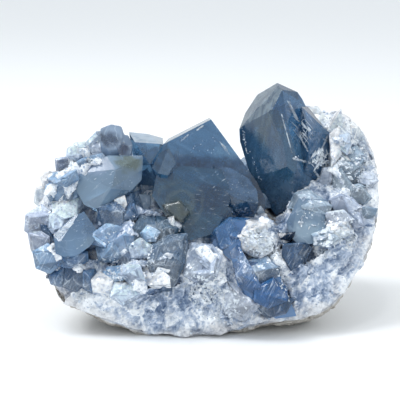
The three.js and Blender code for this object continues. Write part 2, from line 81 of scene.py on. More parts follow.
# The large crystals, each the corners of one or more grown-together blocks.
CRYSTALS = {
    "broad_crystal": [
        [
            (1.6, 3, 74.4), (0.8, 10, 73.6), (-14.8, 0, 66), (-12.6, 9, 67.2),
            (15.8, -2, 56.5), (15, 9, 56.5), (21.3, -4.8, 46.8), (20, 6, 46),
            (-17.5, -5.6, 50), (-16, 6, 50), (-12, -8.4, 40), (20, -6.3, 42),
            (-12, 6, 40), (-6, -2, 34), (12, -2, 34), (0, 6, 34),
        ],
        [
            (3, -5.5, 59.6), (8.7, -6, 58.9), (14.9, -8, 55.8), (17.9, -10.6, 51.8),
            (18.2, -13.1, 47.9), (13.2, -12.6, 48.7), (8.6, -11.5, 50.3), (4.9, -9.9, 52.9),
            (4, 2, 58), (16, 2, 54), (19, -2, 46), (6, 0, 48), (17, -11, 43), (8, -10, 43),
            (5, -8, 46),
        ],
        [
            (-16.8, -8, 57), (-8, -8.5, 60), (5, -7.5, 58.5), (9, -10.4, 50.5), (7, -12.6, 43.5),
            (-13.6, -13, 43.5), (-18.3, -10, 50), (-14, 0, 56), (2, 0, 54), (-12, -2, 42), (6, -2, 42),
        ],
        [
            (-11, -12.5, 46.5), (8.5, -12.2, 46.5), (11, -12, 42.5), (3, -16.2, 38), (-6, -17, 35.5),
            (-11, -14, 40), (-8, -4, 36), (6, -4, 37), (-8, -4, 46), (6, -4, 46),
        ],
        [
            (-12.9, -6, 65.7), (-10.1, -8, 61.2), (-9.8, -8, 59.6), (-12.8, -10, 56.9),
            (-16.2, -10, 57.8), (-18.4, -8, 59.3), (-16, -6, 64), (-13, 0, 62), (-17, 0, 60),
            (-11, -2, 57), (-14, -4, 50),
        ],
    ],
    "tall_crystal": [
        [
            (12.2, 6, 70.9), (15.6, 3, 73.6), (19.3, 3.2, 79.8), (26.9, 2, 85.2), (25.8, 8, 86.8),
            (19.6, 13, 82.6), (14.4, 11.5, 75.6), (32.6, 7, 83.8), (35.8, 7.5, 78.3),
            (23.3, -2.5, 79), (28.3, -5.5, 74.5), (30.9, -8.5, 60), (29.8, -8.3, 61),
            (14.6, 4, 60), (16.5, 3, 53), (41, 5, 60), (41, 4, 50), (29, 19, 76), (29, 20, 50),
            (18, 15, 52), (38, 15, 52), (21, 2, 46), (31, -4, 47), (40, 3, 46),
            (24, 14, 38), (36, 14, 38), (26, 2, 40), (36, 2, 40),
        ],
        [
            (33.5, 0, 79.5), (36.3, 8, 78.4), (44.8, 8, 68.6), (45.1, 6, 57), (36, -6, 62),
            (35.4, -4.5, 72), (43, 15, 60), (36, 16, 70), (34, -4, 56), (42, 4, 52),
            (38, 14, 48),
        ],
    ],
    "back_left_crystal": [
        [
            (-27.1, 8, 68.8), (-20.7, 8.5, 68.8), (-15.1, 10, 66.6), (-24.8, 4, 66.4),
            (-14.9, 4, 65.4), (-19.4, 0.5, 58.9), (-24.5, 2, 58), (-27, 15, 66), (-16, 16, 64),
            (-24, 6, 48), (-16, 6, 48), (-20, 12, 46),
        ],
    ],
    "cap_crystal": [
        [
            (-36.2, -2, 72.3), (-32.9, 0, 73.4), (-29.2, 0, 72.7), (-28.2, -1, 70), (-29.5, -5, 66),
            (-33, -6.5, 65), (-36.5, -5, 67), (-36, 4, 71), (-30, 5, 71),
            (-35, 0, 54), (-30, 0, 54), (-33, 5, 54),
        ],
        [
            (-29.5, -1, 69.5), (-27, -0.5, 70), (-25.2, -2.5, 66.5), (-25.6, -4, 63.5),
            (-29, -6, 62.5), (-30.5, -5, 65), (-26, 3, 66), (-28, 0, 54), (-26, -2, 55),
        ],
    ],
    "left_crystal": [
        [
            (-44.2, -14, 56), (-42.2, -14, 58.7), (-33.6, -10, 63.6), (-24.6, -6, 63.4),
            (-21.5, -6, 63), (-21.7, -8, 58.8), (-21.9, -9, 55.4), (-25.3, -12, 54),
            (-25.5, -13, 52.2), (-32.4, -17, 49.1), (-36.2, -18, 47.3), (-38.4, -18, 47.5),
            (-40.9, -18, 48.4), (-43.7, -16, 52.8), (-30.4, -15, 60.1), (-31.7, -19, 54.3),
            (-28, -13, 58), (-34, -4, 62), (-24, 0, 61), (-42, -6, 56), (-38, -10, 44), (-28, -4, 46),
        ],
    ],
    "lower_left_crystal": [
        [
            (-44.2, -20, 45), (-41, -19, 46.4), (-36.2, -21, 40), (-36.7, -23, 38.3),
            (-38.4, -26, 36.1), (-42.8, -29, 33.5), (-47.1, -29, 33.2), (-49.7, -28, 34.1),
            (-49, -26, 37.7), (-50.9, -24, 39.4), (-45.5, -20, 44.4),
            (-40, -12, 40), (-46, -12, 38), (-42, -16, 31), (-48, -16, 35),
        ],
    ],
    "low_crystal": [
        [
            (2, -20.5, 35.4), (6.2, -18.5, 41.6), (14, -18.5, 43), (11.7, -23.5, 36.4),
            (10.2, -27, 30.6), (7.1, -25, 32.2), (8, -10, 38), (14, -10, 38), (12, -14, 28),
        ],
        [
            (9.5, -27.5, 31.8), (16.9, -27, 31), (24, -26.5, 28.3), (25.2, -28.5, 24.3),
            (28.5, -29.5, 18), (30.4, -29, 13.1), (23.7, -29.5, 12), (17.2, -31, 15.9),
            (15.2, -32, 20.6), (10.5, -30.5, 24.2), (12, -16, 28), (24, -16, 26),
            (26, -18, 16), (16, -18, 16),
        ],
    ],
    "right_crystal": [
        [
            (27.5, -16.5, 42), (32, -12, 49.5), (42, -10, 48.5), (42, -14, 41), (37.5, -19.5, 35.5),
            (32, -20.5, 35), (28.5, -19.5, 38), (34, -3, 47), (41, -3, 43), (36, -7, 32),
            (31, -8, 34),
        ],
    ],
}
# Further faces cut on a crystal's first block: the way each looks, a place, and how far behind it the cut is.
TRIMS = {
    "tall_crystal": [((-0.15, -0.98, 0.12), (30.9, -8.5, 60), 1.1)],
}
FACE_FLATNESS = math.radians(11)  # facets that turn less than this from a larger one lie in its plane
EDGE_WEAR = 0.28
EDGE_ANGLE = 12  # edges that turn more than this, in degrees, are worn
ROUNDED = {"cap_crystal": 7}  # this one is worn round, more with more rounds of smoothing,
ROUNDED_SKIN = 0.4  # on a skin of facets this wide,
ROUNDED_EDGE_ANGLE = 60  # and only its sharpest edges are worn further
GROWTH_STEPS = {
    "broad_crystal": 5, "tall_crystal": 8, "left_crystal": 2, "lower_left_crystal": 3, "low_crystal": 5,
    "right_crystal": 9,
}
FEWEST_STEPS = 2
OPEN_SIDE = -0.2  # steps grow on faces whose direction has a y under this
STEP_HEIGHT = (0.15, 0.4)
STEP_INSET = (0.6, 8)  # how far a step keeps from the edges of its face

# Cloudy films inside the crystals: how many there are in each.
VEILS = {
    "broad_crystal": 26, "tall_crystal": 40, "back_left_crystal": 6, "cap_crystal": 8,
    "left_crystal": 10, "lower_left_crystal": 8, "low_crystal": 12, "right_crystal": 16,
}
VEIL_SIZE = (1.5, 7)  # how far they reach from their middle
VEIL_THICK = 0.08
VEIL_SEED = 8
VEIL_CORNERS = 9
VEIL_NARROW = 0.6  # their width, as a share of their length
VEIL_RAGGED = (0.45, 1)  # how far their corners reach, as a share of their size
CLEAVAGE_ASIDE = (-0.5, 0.5)  # the cleavage looks at the open side, and this far aside and up
CLEAVAGE_UP = (-0.4, 0.6)
VEIL_TURN = 0.35  # how far they turn from it
VEIL_SHARE = 0.1  # the least pull of a crystal's corner on a film's place
VEIL_ROOM = 0.95  # the share they take of the room that the crystal's faces leave

# Faces with a tint of their own: where the line from the eye meets them, and the tint, partly the crystal's
# colour and partly painted shade and reflection of how that face meets the light.
TINTED_FACES = {
    "broad_crystal": [
        ((12.3, 52.8), (0.1, 0.19, 0.34)), ((-14.4, 60.7), (0.2, 0.3, 0.42)),
        ((-7.1, 49.9), (0.025, 0.105, 0.21)), ((-1.8, 37.2), (0.03, 0.12, 0.22)),
        ((12.4, 41.9), (0.01, 0.06, 0.15)), ((0.6, 70.6), (0.08, 0.17, 0.3)),
    ],
    "tall_crystal": [
        ((29.1, 64.2), (0.07, 0.17, 0.28)), ((32.9, 67.1), (0.12, 0.28, 0.47)),
        ((36.6, 71.3), (0.09, 0.25, 0.48)), ((41.6, 66), (0.06, 0.2, 0.41)),
        ((30.2, 81.8), (0.08, 0.18, 0.32)), ((35.2, 55.3), (0.11, 0.26, 0.45)),
        ((23.6, 52.8), (0.04, 0.13, 0.23)),
    ],
    "left_crystal": [
        ((-34.2, 53.5), (0.19, 0.3, 0.43)), ((-37, 59.2), (0.24, 0.34, 0.5)),
        ((-27.5, 57.8), (0.2, 0.3, 0.4)), ((-38.2, 47.3), (0.25, 0.38, 0.52)),
        ((-39.6, 51.5), (0.24, 0.37, 0.51)), ((-35.7, 46.4), (0.25, 0.38, 0.52)),
    ],
    "low_crystal": [
        ((7.1, 33.5), (0.1, 0.2, 0.38)),
    ],
    "right_crystal": [
        ((33.6, 44.5), (0.2, 0.32, 0.46)), ((39, 40.9), (0.24, 0.37, 0.52)),
        ((32, 36.1), (0.14, 0.25, 0.38)), ((37.4, 35.4), (0.27, 0.41, 0.57)),
    ],
}
SAME_FACE = 0.6  # facets in one plane, within this, share its tint,
SAME_LOOKS = 0.999  # and so much of one direction lies along the other

# White films and fractures that reach the skin, each an outline; one of four corners is a strip.
FILMS = [
    [(28.4, 81.5), (29.1, 81.5), (32.4, 75.2), (31.7, 74.8)],
    [(30.3, 76.3), (30.6, 76.1), (38.5, 70), (37.7, 69.6)],
    [(29.6, 74.6), (29.9, 74.3), (38.5, 66.7), (37.6, 66.5)],
    [(31.6, 75.4), (31.9, 75.2), (36.6, 71.9), (36.1, 71.5)],
    [(35.2, 72.7), (42.3, 67.4), (42, 67.1), (34.9, 72)],
    [(26.4, 76.9), (26.8, 76.9), (30.7, 63.2), (30.3, 63.2)],
    [(30.9, 61.6), (38.3, 59.6), (38.3, 58.9), (30.9, 60.8)],
    [(38.3, 57.5), (41.2, 53.9), (40.9, 53.2), (38, 56.7)],
    [(38, 70.6), (43, 67.4), (43, 67.1), (37.7, 70.2)],
    [(38.8, 68.8), (43.4, 65.8), (43.1, 65.5), (38.4, 68.3)],
    [(40.3, 63.9), (42.6, 69.5), (43, 69.2), (40.7, 63.5)],
    [(34.3, 67.4), (36.4, 63.9), (36.1, 63.5), (33.9, 67.1)],
    [(32.1, 72), (34.3, 67.8), (33.9, 67.4), (31.7, 71.3)],
    [(30.7, 71.4), (35.5, 65.4), (35.6, 65.4), (30.8, 71.5)],
    [(31.7, 72.3), (36.2, 66.6), (36.3, 66.7), (31.8, 72.4)],
    [(32.7, 73.3), (37, 67.9), (37.1, 68), (32.8, 73.3)],
    [(33.7, 74.2), (37.7, 69.1), (37.8, 69.2), (33.8, 74.3)],
    [(34.6, 75.1), (38.5, 70.4), (38.6, 70.5), (34.7, 75.2)],
    [(31.2, 71.1), (34.4, 75.1), (34.3, 75.1), (31.1, 71.1)],
    [(32.4, 69.5), (35.4, 73.6), (35.3, 73.6), (32.3, 69.6)],
    [(33.6, 67.9), (36.4, 72.1), (36.3, 72.2), (33.5, 68)],
    [(34.8, 66.4), (37.5, 70.6), (37.4, 70.7), (34.7, 66.4)],
    [(-8.8, 67.4), (-6, 69.9), (-5.6, 69.5), (-8.5, 67.1)],
    [(4.9, 67.4), (7.3, 65.3), (8.7, 62.4), (7, 63.9)],
    [(-3.2, 71.3), (-0.8, 73.1), (-0.4, 72.7), (-2.8, 71)],
    [(-53.8, 33.5), (-47.6, 38.7), (-46.6, 37.9), (-52.1, 32.1)],
    [(27.1, 34.4), (28.3, 39.1), (31.1, 34.4)], [(-26.1, 31.7), (-22.5, 32.2), (-20.6, 29), (-23.6, 26.2)],
]
FILM_THICK = 0.12  # on either side of the skin
FILM_LENGTH = 1.2  # a long film follows the skin in lengths of about this
FILM_JUMP = 2  # where the skin jumps by more than this, the film has a gap

# The tints of the smaller crystals, lumps and crumbs; the near-white one of the face that flashes is a
# painted highlight.
GROWN_TINTS = {
    "white": (0.85, 0.93, 1), "pale": (0.54, 0.66, 0.84), "lavender": (0.54, 0.62, 0.79),
    "icy": (0.26, 0.42, 0.63), "mid": (0.14, 0.28, 0.5), "teal": (0.1, 0.2, 0.32),
    "blue": (0.17, 0.35, 0.67), "cobalt": (0.035, 0.18, 0.46), "deep": (0.05, 0.15, 0.32),
    "deepest": (0.05, 0.19, 0.44), "dark": (0.02, 0.05, 0.12), "olive": (0.11, 0.15, 0.15),
    "milky": (0.55, 0.62, 0.74), "cream": (0.89, 0.95, 1), "painted_flash": (0.95, 0.97, 0.98),
    "frost": (0.38, 0.5, 0.62), "smoky": (0.22, 0.32, 0.43), "dusk": (0.36, 0.43, 0.57),
    "steel": (0.19, 0.3, 0.45), "mist": (0.44, 0.53, 0.68), "sky": (0.3, 0.49, 0.76),
}

# Crumbs of broken mineral: outline of the heap seen from the eye, how many, their sizes and their tint.
CRUMBS = [
    ([(-37.7, 30.3), (-32.9, 35.8), (-29, 35.8), (-34.4, 29.7)], 14, (0.3, 0.8), "white"),
    ([(-23.8, 26.2), (-18.5, 30.3), (-17.2, 22.1), (-22.6, 20.7)], 40, (0.3, 1), "white"),
    ([(-41.1, 24.2), (-31.8, 26.2), (-23.9, 21.4), (-29.3, 15.2), (-38.5, 18)], 90, (0.4, 1.3), "white"),
    ([(-61.7, 41.9), (-55.8, 43.2), (-54.7, 33.7), (-62, 33.1)], 30, (0.3, 0.8), "pale"),
    ([(-52, 61.2), (-46.2, 59.9), (-47, 55.9), (-51.5, 55.9)], 20, (0.3, 0.8), "white"),
    ([(-49.8, 45.2), (-43.9, 45.9), (-44, 40.5), (-49.3, 41.2)], 30, (0.3, 0.9), "white"),
    ([(-8.1, 19.1), (3.5, 19.1), (16.5, 6.9), (3.6, -1.2), (-4.9, 5.6)], 160, (0.4, 1.4), "white"),
    ([(-6.8, 17.7), (3.5, 15), (7.5, 5.6), (-4.3, 8.3)], 45, (0.3, 0.9), "deep"),
    ([(24.8, 21.7), (28, 21.7), (32.1, 11), (29.5, 8.3), (26.8, 15)], 60, (0.3, 1), "white"),
    ([(28.8, 49.3), (32.7, 50.5), (43, 46.5), (43.1, 43.3), (36.8, 44.1)], 40, (0.3, 0.9), "pale"),
    ([(12.5, 72), (13.6, 72), (15.4, 61.4), (14.3, 63.5)], 40, (0.2, 0.5), "white"),
    ([(15, 64.2), (16.1, 64.2), (21.5, 50.6), (20.1, 49.9)], 22, (0.2, 0.5), "pale"),
    ([(36.8, 64.3), (43.8, 64.9), (44.6, 57.2), (40.1, 55.4), (36.9, 60)], 70, (0.5, 2.2), "white"),
    ([(44, 60), (50, 71), (55, 68), (59, 60), (60, 50), (50, 47)], 130, (0.4, 1.5), "white"),
    ([(38, 30), (42, 42), (53, 43), (58, 38), (50, 24), (40, 24)], 110, (0.5, 2), "white"),
    ([(12.5, 30), (15, 38.2), (20.5, 38.2), (25.3, 30), (24, 23.5), (17, 26)], 150, (0.5, 1.8), "white"),
    ([(33.5, 42), (37, 44), (41, 40), (38, 35), (34, 36)], 16, (0.3, 0.9), "white"),
    ([(30.5, 62.4), (34, 61.7), (34, 60.3), (30.9, 60.7)], 16, (0.4, 0.9), "white"),
    ([(-6.7, 69.2), (0.3, 73.4), (9.4, 62.1), (-4.6, 60)], 12, (0.2, 0.4), "white"),
    ([(2.8, 41.6), (21.6, 44.9), (22, 42.3), (9.6, 39)], 90, (0.4, 1.1), "deep"),
    ([(-31.5, 46.7), (-28.7, 46.7), (-28.7, 44.1), (-31.2, 44.1)], 22, (0.5, 1.3), "white"),
    ([(-21.6, 45.9), (-17, 45.9), (-16.7, 41.2), (-21.3, 41.2)], 40, (0.5, 1.3), "pale"),
    ([(33, 39.4), (35.1, 39.8), (35.2, 36.8), (33.4, 36.5)], 14, (0.4, 1), "white"),
    ([(17.4, 37.2), (24, 33.2), (27, 24), (22.6, 23.6), (18.2, 31.7)], 60, (0.6, 1.8), "white"),
]
CRUMB_SEED = 9
CRUMB_CORNERS = 6
CRUMB_REACH = 0.65  # how far its corners may lie from its middle, as a share of its size
CRUMB_PROUD = 0.15  # how far its middle stands out, as a share of its size
CRUMB_FLAT = 0.5  # how much flatter it lies
CRUMB_SHARE = 0.02  # the least pull of a heap's corner on a crumb's place
# A broken crystal face that flashes white, its flash a painted highlight in its near-white tint: its outline,
# and the direction it looks in.
FLASH = [
    (-23.7, 20.6), (-20.4, 22.1), (-16.9, 22.1), (-12.6, 18.2), (-12.6, 15.4), (-16.9, 16.2), (-20.7, 15),
]
FLASH_LOOKS = (-0.313, -0.67, 0.674)
FLASH_PROUD = 0.3  # its middle stands this far before the skin
FLASH_DEEP = 4
BACK_SHARE = 0.8  # the back of a block, as a share of its outline

# The smaller crystals and lumps grown on the face: tint, how far the middle rises, and outline.
GROWN = [
    ("lavender", 1.4, [
        (-57.7, 60.6), (-55.3, 61.2), (-52.7, 61.4), (-51.7, 59.9), (-51.9, 55.3), (-54.8, 53.6),
        (-57.5, 54.6), (-58.4, 58.3),
    ]),
    ("lavender", 1.2, [(-51.9, 60.6), (-47.8, 61.4), (-46.2, 59.6), (-46.3, 56.3), (-51.5, 55.3)]),
    ("icy", 1, [(-52.8, 55.8), (-46.3, 56.6), (-45.7, 53.6), (-49.3, 51.6), (-52.6, 52.5), (-54.5, 53.9)]),
    ("white", 1.5, [(-59.6, 50.1), (-55.6, 50.7), (-54.5, 46.6), (-57.4, 43.8), (-60, 45.8)]),
    ("icy", 1.4, [
        (-55.2, 50.9), (-50.3, 53.4), (-46.1, 51.9), (-45.9, 46.9), (-49.2, 44.4), (-53.1, 44.9),
        (-55, 48.3),
    ]),
    ("pale", 1.2, [
        (-53.1, 45.2), (-48.9, 44.9), (-45.2, 46.6), (-44, 43.9), (-46, 40.5), (-50, 39.8), (-52.9, 41.9),
    ]),
    ("lavender", 1.6, [
        (-62.6, 40.5), (-58.1, 43.4), (-55.5, 41.2), (-55.3, 35.8), (-59, 33.1), (-63.1, 35.8),
    ]),
    ("lavender", 1.4, [
        (-62.3, 33.7), (-58.7, 34.1), (-56.1, 32.4), (-56.2, 29), (-58.9, 26.6), (-61.5, 28.3),
    ]),
    ("icy", 1.8, [
        (-60.5, 26.9), (-56.2, 29.3), (-52.6, 26.9), (-52.4, 23.1), (-55.8, 20.4), (-59.7, 22.1),
    ]),
    ("pale", 1, [(-55.9, 39.8), (-52.5, 41.9), (-49.3, 40.5), (-50.4, 35.8), (-54, 34.8), (-55.7, 35.8)]),
    ("deep", 0.6, [(-58.1, 36.6), (-56, 37.1), (-54.9, 33.1), (-51.7, 28.6), (-52.6, 26.2), (-56.2, 30)]),
    ("pale", 0.8, [
        (-43, 61.5), (-40.8, 66.4), (-38.2, 69), (-35.8, 69.4), (-33.7, 61.6), (-35, 59), (-38.5, 58.5),
        (-42.3, 59),
    ]),
    ("white", 1, [(-42, 60.6), (-41.1, 61.4), (-40.2, 60.6), (-41, 59.6)]),
    ("pale", 1.2, [(-47.7, 64.5), (-45.4, 66.2), (-42.5, 66.5), (-42.3, 62.6), (-44.9, 60.6), (-48, 62.2)]),
    ("icy", 0.4, [(-45.2, 59.6), (-42.6, 61.2), (-37.1, 62.6), (-36.1, 61.2), (-43.7, 57.3)]),
    ("white", 0.8, [(-31.8, 46.2), (-28.8, 47.3), (-28.1, 44.6), (-29.6, 42.2), (-31.5, 43.6)]),
    ("mid", 1.2, [(-36.8, 42.9), (-31.8, 44.7), (-29.4, 41.9), (-30, 36.8), (-35.3, 35.4), (-37.5, 38.5)]),
    ("mid", 1, [(-29.9, 44.6), (-26.2, 47.6), (-23.1, 48.9), (-22.7, 43.2), (-23.7, 40.4), (-29.3, 39.5)]),
    ("deep", 0.8, [
        (-29.3, 39.8), (-23.7, 40.7), (-20.4, 39.8), (-22.1, 37.5), (-23.7, 35.8), (-28.3, 36.5),
    ]),
    ("sky", 1.6, [
        (-22.9, 54.3), (-20.2, 56.6), (-18.2, 53.9), (-17.2, 45.2), (-18.7, 41.5), (-21.8, 43.6),
        (-23.3, 48.6),
    ]),
    ("pale", 1, [(-22, 45.9), (-17.7, 47.6), (-16.8, 43.2), (-18.4, 40.2), (-21, 41.2)]),
    ("teal", 1, [
        (-24.4, 35.8), (-22, 39.2), (-15.8, 39.8), (-13.5, 35.8), (-15.5, 30), (-21.2, 29.3),
        (-23.8, 31.4),
    ]),
    ("icy", 1.8, [(-22.7, 34.4), (-20.9, 37.7), (-17.4, 37.8), (-16.6, 34.8), (-18, 32), (-21, 31.8)]),
    ("teal", 1, [(-16.8, 39.5), (-13.2, 39), (-10.4, 35.8), (-10.9, 32.2), (-15.5, 31), (-16.6, 35.8)]),
    ("sky", 0.8, [
        (-39.6, 33.4), (-34.9, 36.8), (-29, 37.7), (-25.4, 35.4), (-31.4, 31), (-35, 30), (-38.6, 30.7),
    ]),
    ("sky", 0.3, [(-34.4, 30), (-29, 33.1), (-24.4, 36.1), (-23.2, 32.2), (-27.8, 28.3), (-32.4, 26.2)]),
    ("pale", 0.6, [(-26.6, 29.5), (-23.1, 31.7), (-19.3, 29.3), (-20.2, 25.9), (-25.5, 25.7)]),
    ("icy", 1, [(-38.3, 29.7), (-33, 30.3), (-30.1, 26.2), (-32.8, 23.8), (-37.4, 24.7)]),
    ("blue", 1, [
        (-33.1, 26.9), (-26.5, 27.6), (-22.8, 25.4), (-18.9, 25.9), (-18.7, 22.3), (-26.5, 21.6),
        (-32.2, 22.9),
    ]),
    ("steel", 1.2, [
        (-17.5, 29.3), (-13.2, 31.7), (-7.8, 32.2), (-7.3, 27.6), (-8.6, 23.1), (-11.3, 16.9),
        (-17.1, 17.6), (-18.9, 23.5),
    ]),
    ("white", 0.3, [(-17.8, 30.2), (-13, 31.6), (-13.9, 29.7), (-17.1, 28.4)]),
    ("dark", 0.3, [(-43.3, 26.9), (-39.7, 28.4), (-36.9, 27.1), (-37.6, 24.9), (-41.2, 24.9)]),
    ("deep", 0.3, [(-17.6, 14.9), (-15.6, 16), (-12.4, 14.8), (-12.5, 13), (-16.1, 13)]),
    ("mid", 1, [(-55.8, 19.7), (-50.1, 22.8), (-48.6, 19.4), (-50.6, 14.9), (-54.7, 16)]),
    ("deep", 1, [(-49.7, 22.5), (-43.9, 20.4), (-42.9, 16.6), (-46.6, 13.5), (-50.4, 15.1), (-49, 19.4)]),
    ("mid", 0.8, [(-52.8, 26.2), (-49, 26.9), (-43.3, 26.9), (-43.1, 24), (-47.8, 21.8), (-52.2, 22.7)]),
    ("mid", 0.8, [(-43.2, 19.4), (-39.7, 20.2), (-38.2, 16.6), (-40.8, 12.8), (-43.4, 14.4)]),
    ("olive", 1, [(-14.1, 43.9), (-9.1, 45.1), (-6.3, 41.9), (-8.4, 38.8), (-12.4, 40.2)]),
    ("white", 0.4, [(-13.2, 39.8), (-11.2, 40.2), (-10.8, 36.3), (-12.2, 37.7)]),
    ("milky", 0.6, [(46.7, 72.5), (51, 72.3), (51.1, 68.8), (49.6, 67.2), (47.2, 69.5)]),
    ("pale", 0.8, [(47.2, 68.8), (50.3, 69.5), (50.7, 66.4), (49.7, 63.2), (47.7, 64.8)]),
    ("frost", 1, [(50, 63.6), (53.1, 65), (56.1, 61.7), (54.5, 59.1), (51.1, 59.5)]),
    ("milky", 0.6, [(52, 67.6), (54.9, 69.3), (56.2, 66.4), (57.7, 63), (55.1, 63.6), (53.1, 65.6)]),
    ("frost", 0.8, [(44.3, 59.5), (48.2, 59.9), (51.3, 59.5), (53.9, 58.1), (51.4, 56.3), (45.9, 56.7)]),
    ("smoky", 1.4, [(48.6, 57.9), (51.3, 59.3), (53.9, 57.3), (54, 54.1), (51.9, 51.5), (48.2, 53.9)]),
    ("milky", 1.2, [(53.7, 54.5), (56.1, 56.1), (58.9, 55.7), (60.3, 53.3), (58.2, 51.1), (54.6, 51.9)]),
    ("frost", 1, [(45.1, 56.1), (48.3, 56.6), (48.8, 52.9), (51.8, 51.3), (50, 49.1), (46, 50.4)]),
    ("frost", 1.2, [(50.7, 49.3), (54.7, 51), (56.4, 48.9), (58.2, 47.3), (55.7, 44.7), (52, 46.8)]),
    ("dusk", 1, [(44.9, 46.1), (48.5, 47.8), (51.7, 46.6), (54.3, 43.7), (51, 41.9), (46.2, 42.4)]),
    ("frost", 1.2, [
        (31.1, 43.9), (32.8, 48.1), (36.7, 49.4), (39.7, 47.3), (43.3, 44.5), (42.4, 41.9), (34.4, 43.1),
    ]),
    ("milky", 1, [(40.7, 52.9), (41.5, 56.9), (44, 57.3), (44.5, 54.1), (43.3, 50.7), (41.7, 50.8)]),
    ("smoky", 0.3, [(55.3, 43.3), (57.3, 43.6), (60.5, 43), (59.8, 40.8), (56.5, 39.6)]),
    ("frost", 0.8, [(38.6, 33.5), (43.3, 35.3), (46.7, 32.3), (43.8, 29.7), (39.4, 30.1)]),
    ("white", 1.4, [(15, 38.6), (18.8, 38.3), (21.1, 37.3), (21.4, 34), (18.2, 32.4), (14, 34.4)]),
    ("deep", 1.2, [(28.9, 29.6), (35, 29.9), (37.2, 28.4), (35.4, 24.4), (31.3, 21.6), (28.7, 25.6)]),
    ("frost", 0.4, [(31.8, 29.1), (35.8, 28.4), (36.5, 25.6), (33.1, 24.3)]),
    ("dark", 0.4, [(26.4, 34), (31.5, 34.4), (30.6, 31.6), (27.1, 32.2)]),
    ("deepest", 1.4, [
        (4.4, 35), (8.6, 38.6), (14.2, 38.3), (13.9, 32.4), (11.8, 28.3), (6.1, 28.9), (3.2, 32.4),
    ]),
    ("cobalt", 0.8, [
        (10.1, 25.6), (12.5, 27.7), (13.9, 23.7), (16.6, 20.4), (19.2, 15), (16.5, 10.7), (13.8, 13.6),
        (11.8, 18.4),
    ]),
    ("steel", 1, [(16.3, 23.7), (21.5, 25.1), (25.6, 21.7), (25.6, 16.9), (20.3, 16.3), (16.2, 19.7)]),
    ("cobalt", 1.2, [(18.9, 13.7), (24.2, 16.5), (28.3, 13.7), (28.3, 9.5), (23, 7.5), (19, 9.5)]),
    ("deep", 0.8, [(19, 8.3), (25.6, 8.4), (30.9, 9.6), (28.4, 4.8), (23, 3.4)]),
    ("mist", 1.8, [
        (-6.9, 26.4), (-4.2, 29.2), (1.6, 28.7), (4.3, 25.1), (3, 19.1), (-1.7, 16.9), (-6.3, 19.6),
    ]),
    ("milky", 1.4, [(8.7, 15), (13.9, 13), (18.2, 7.6), (14, 2.7), (8.1, 5.6)]),
    ("icy", 1, [(1.5, 35), (6, 38.3), (7.4, 36.3), (4.9, 32.2), (1.6, 30.3), (-0.5, 32.4)]),
    ("cream", 1.2, [(12.5, 32.4), (16.3, 34.4), (21.4, 32.4), (22.9, 28.4), (18.9, 25.7), (13.8, 28.4)]),
    ("white", 1, [(21.4, 32), (25.3, 29.1), (28, 23.7), (24.8, 22.7), (20.2, 25.4)]),
    ("cream", 1, [(16.3, 33.4), (20.1, 34), (24, 31.7), (21.5, 29.1), (17.6, 29.7)]),
    ("white", 1.2, [(43.9, 68.8), (46.7, 71.1), (47.4, 67.2), (47.7, 63.2), (45.8, 60.9), (44.7, 59.9)]),
    ("white", 1, [(45.4, 63.6), (47.7, 63.6), (50.5, 60.5), (48.2, 59.7), (44.9, 59.9)]),
    ("white", 1.2, [(42.9, 71.1), (44.3, 75), (46.9, 77.7), (47.9, 72.7), (46.3, 71.1)]),
    ("white", 1.2, [(35.7, 78.9), (39.2, 78.7), (42.4, 75), (41.7, 71.9), (38.9, 73.8)]),
    ("white", 1, [(51, 72.3), (53.3, 71.9), (54.9, 69.5), (52.1, 67.6), (51.1, 66.4)]),
    ("milky", 1.4, [(43.6, 41.3), (48.7, 42.1), (51.9, 39.2), (48.8, 36.4), (44, 38)]),
    ("white", 1.2, [(44.4, 37.2), (50.3, 38), (52, 34.4), (47.7, 32.7), (43.7, 34.4)]),
    ("dusk", 1, [(51.8, 41.7), (55, 40.9), (55.9, 37.2), (52.4, 36), (50.7, 38.4)]),
    ("frost", 1, [(51.6, 51.3), (53.9, 51.9), (56.3, 50.9), (54, 49.7), (51.6, 49.5)]),
    ("pale", 1, [(-29.2, 22.1), (-23.9, 21.8), (-22.6, 17.3), (-26.6, 15.9), (-29.9, 18.7)]),
    ("icy", 1, [(-34.5, 21.4), (-29.9, 21.8), (-30.2, 17.3), (-33.9, 16.6), (-36.5, 19.4)]),
    ("white", 1, [(-37.9, 19.4), (-33.9, 16.6), (-34.7, 12.4), (-40, 13.1), (-40.2, 16.6)]),
    ("pale", 1, [(-31.9, 15.2), (-26.6, 15.2), (-24, 11), (-29.4, 8.2), (-33.3, 11)]),
]
GROWN_DEEP = 7  # how far these reach back into the wall
GROWN_PROUD = (0.4, 2.2)  # and how far their outlines stand before it
GROWN_TILT = 0.35  # how far the plane of an outline tilts
GROWN_SPREAD = 1.32  # they run into their neighbours by this
GROWN_REACH = 2.5  # their outlines stand no further than this before what is behind them
GROWN_TOP = (0.6, 0.9)  # the flat top's share of the outline
GROWN_LEAN = 0.9  # and how much further it rises on one side, as a share of its rise
GROWN_SIDES = 2  # smaller ones grown into the sides of each
GROWN_WEAR = 0.7  # wear of their edges, as a share of a large crystal's
SAME_FLAT = math.radians(2)  # facets that turn less than this are one
SIDE_RISE = (0.1, 0.5)  # how far a side block rises, and how far before its neighbour it starts,
SIDE_STARTS = (0.1, 0.9)  # as shares of the rise of the block it grows on
SIDE_INNER = (-0.3, 0.2)  # its inner corner, between the middle and the outline,
SIDE_TOP = (0.5, 0.75)  # and its flat top, as a share of its outline
BLOCK_TONES = (0.85, 1.15)
FACE_TONE = 0.95  # a face's tone, that much brighter where it looks up, as painted light from above,
UPWARD_PAINTED_LIGHT = 0.5
TONE_CHANGE = 0.18  # and by chance that much darker or brighter
BRIGHTEST = 0.95

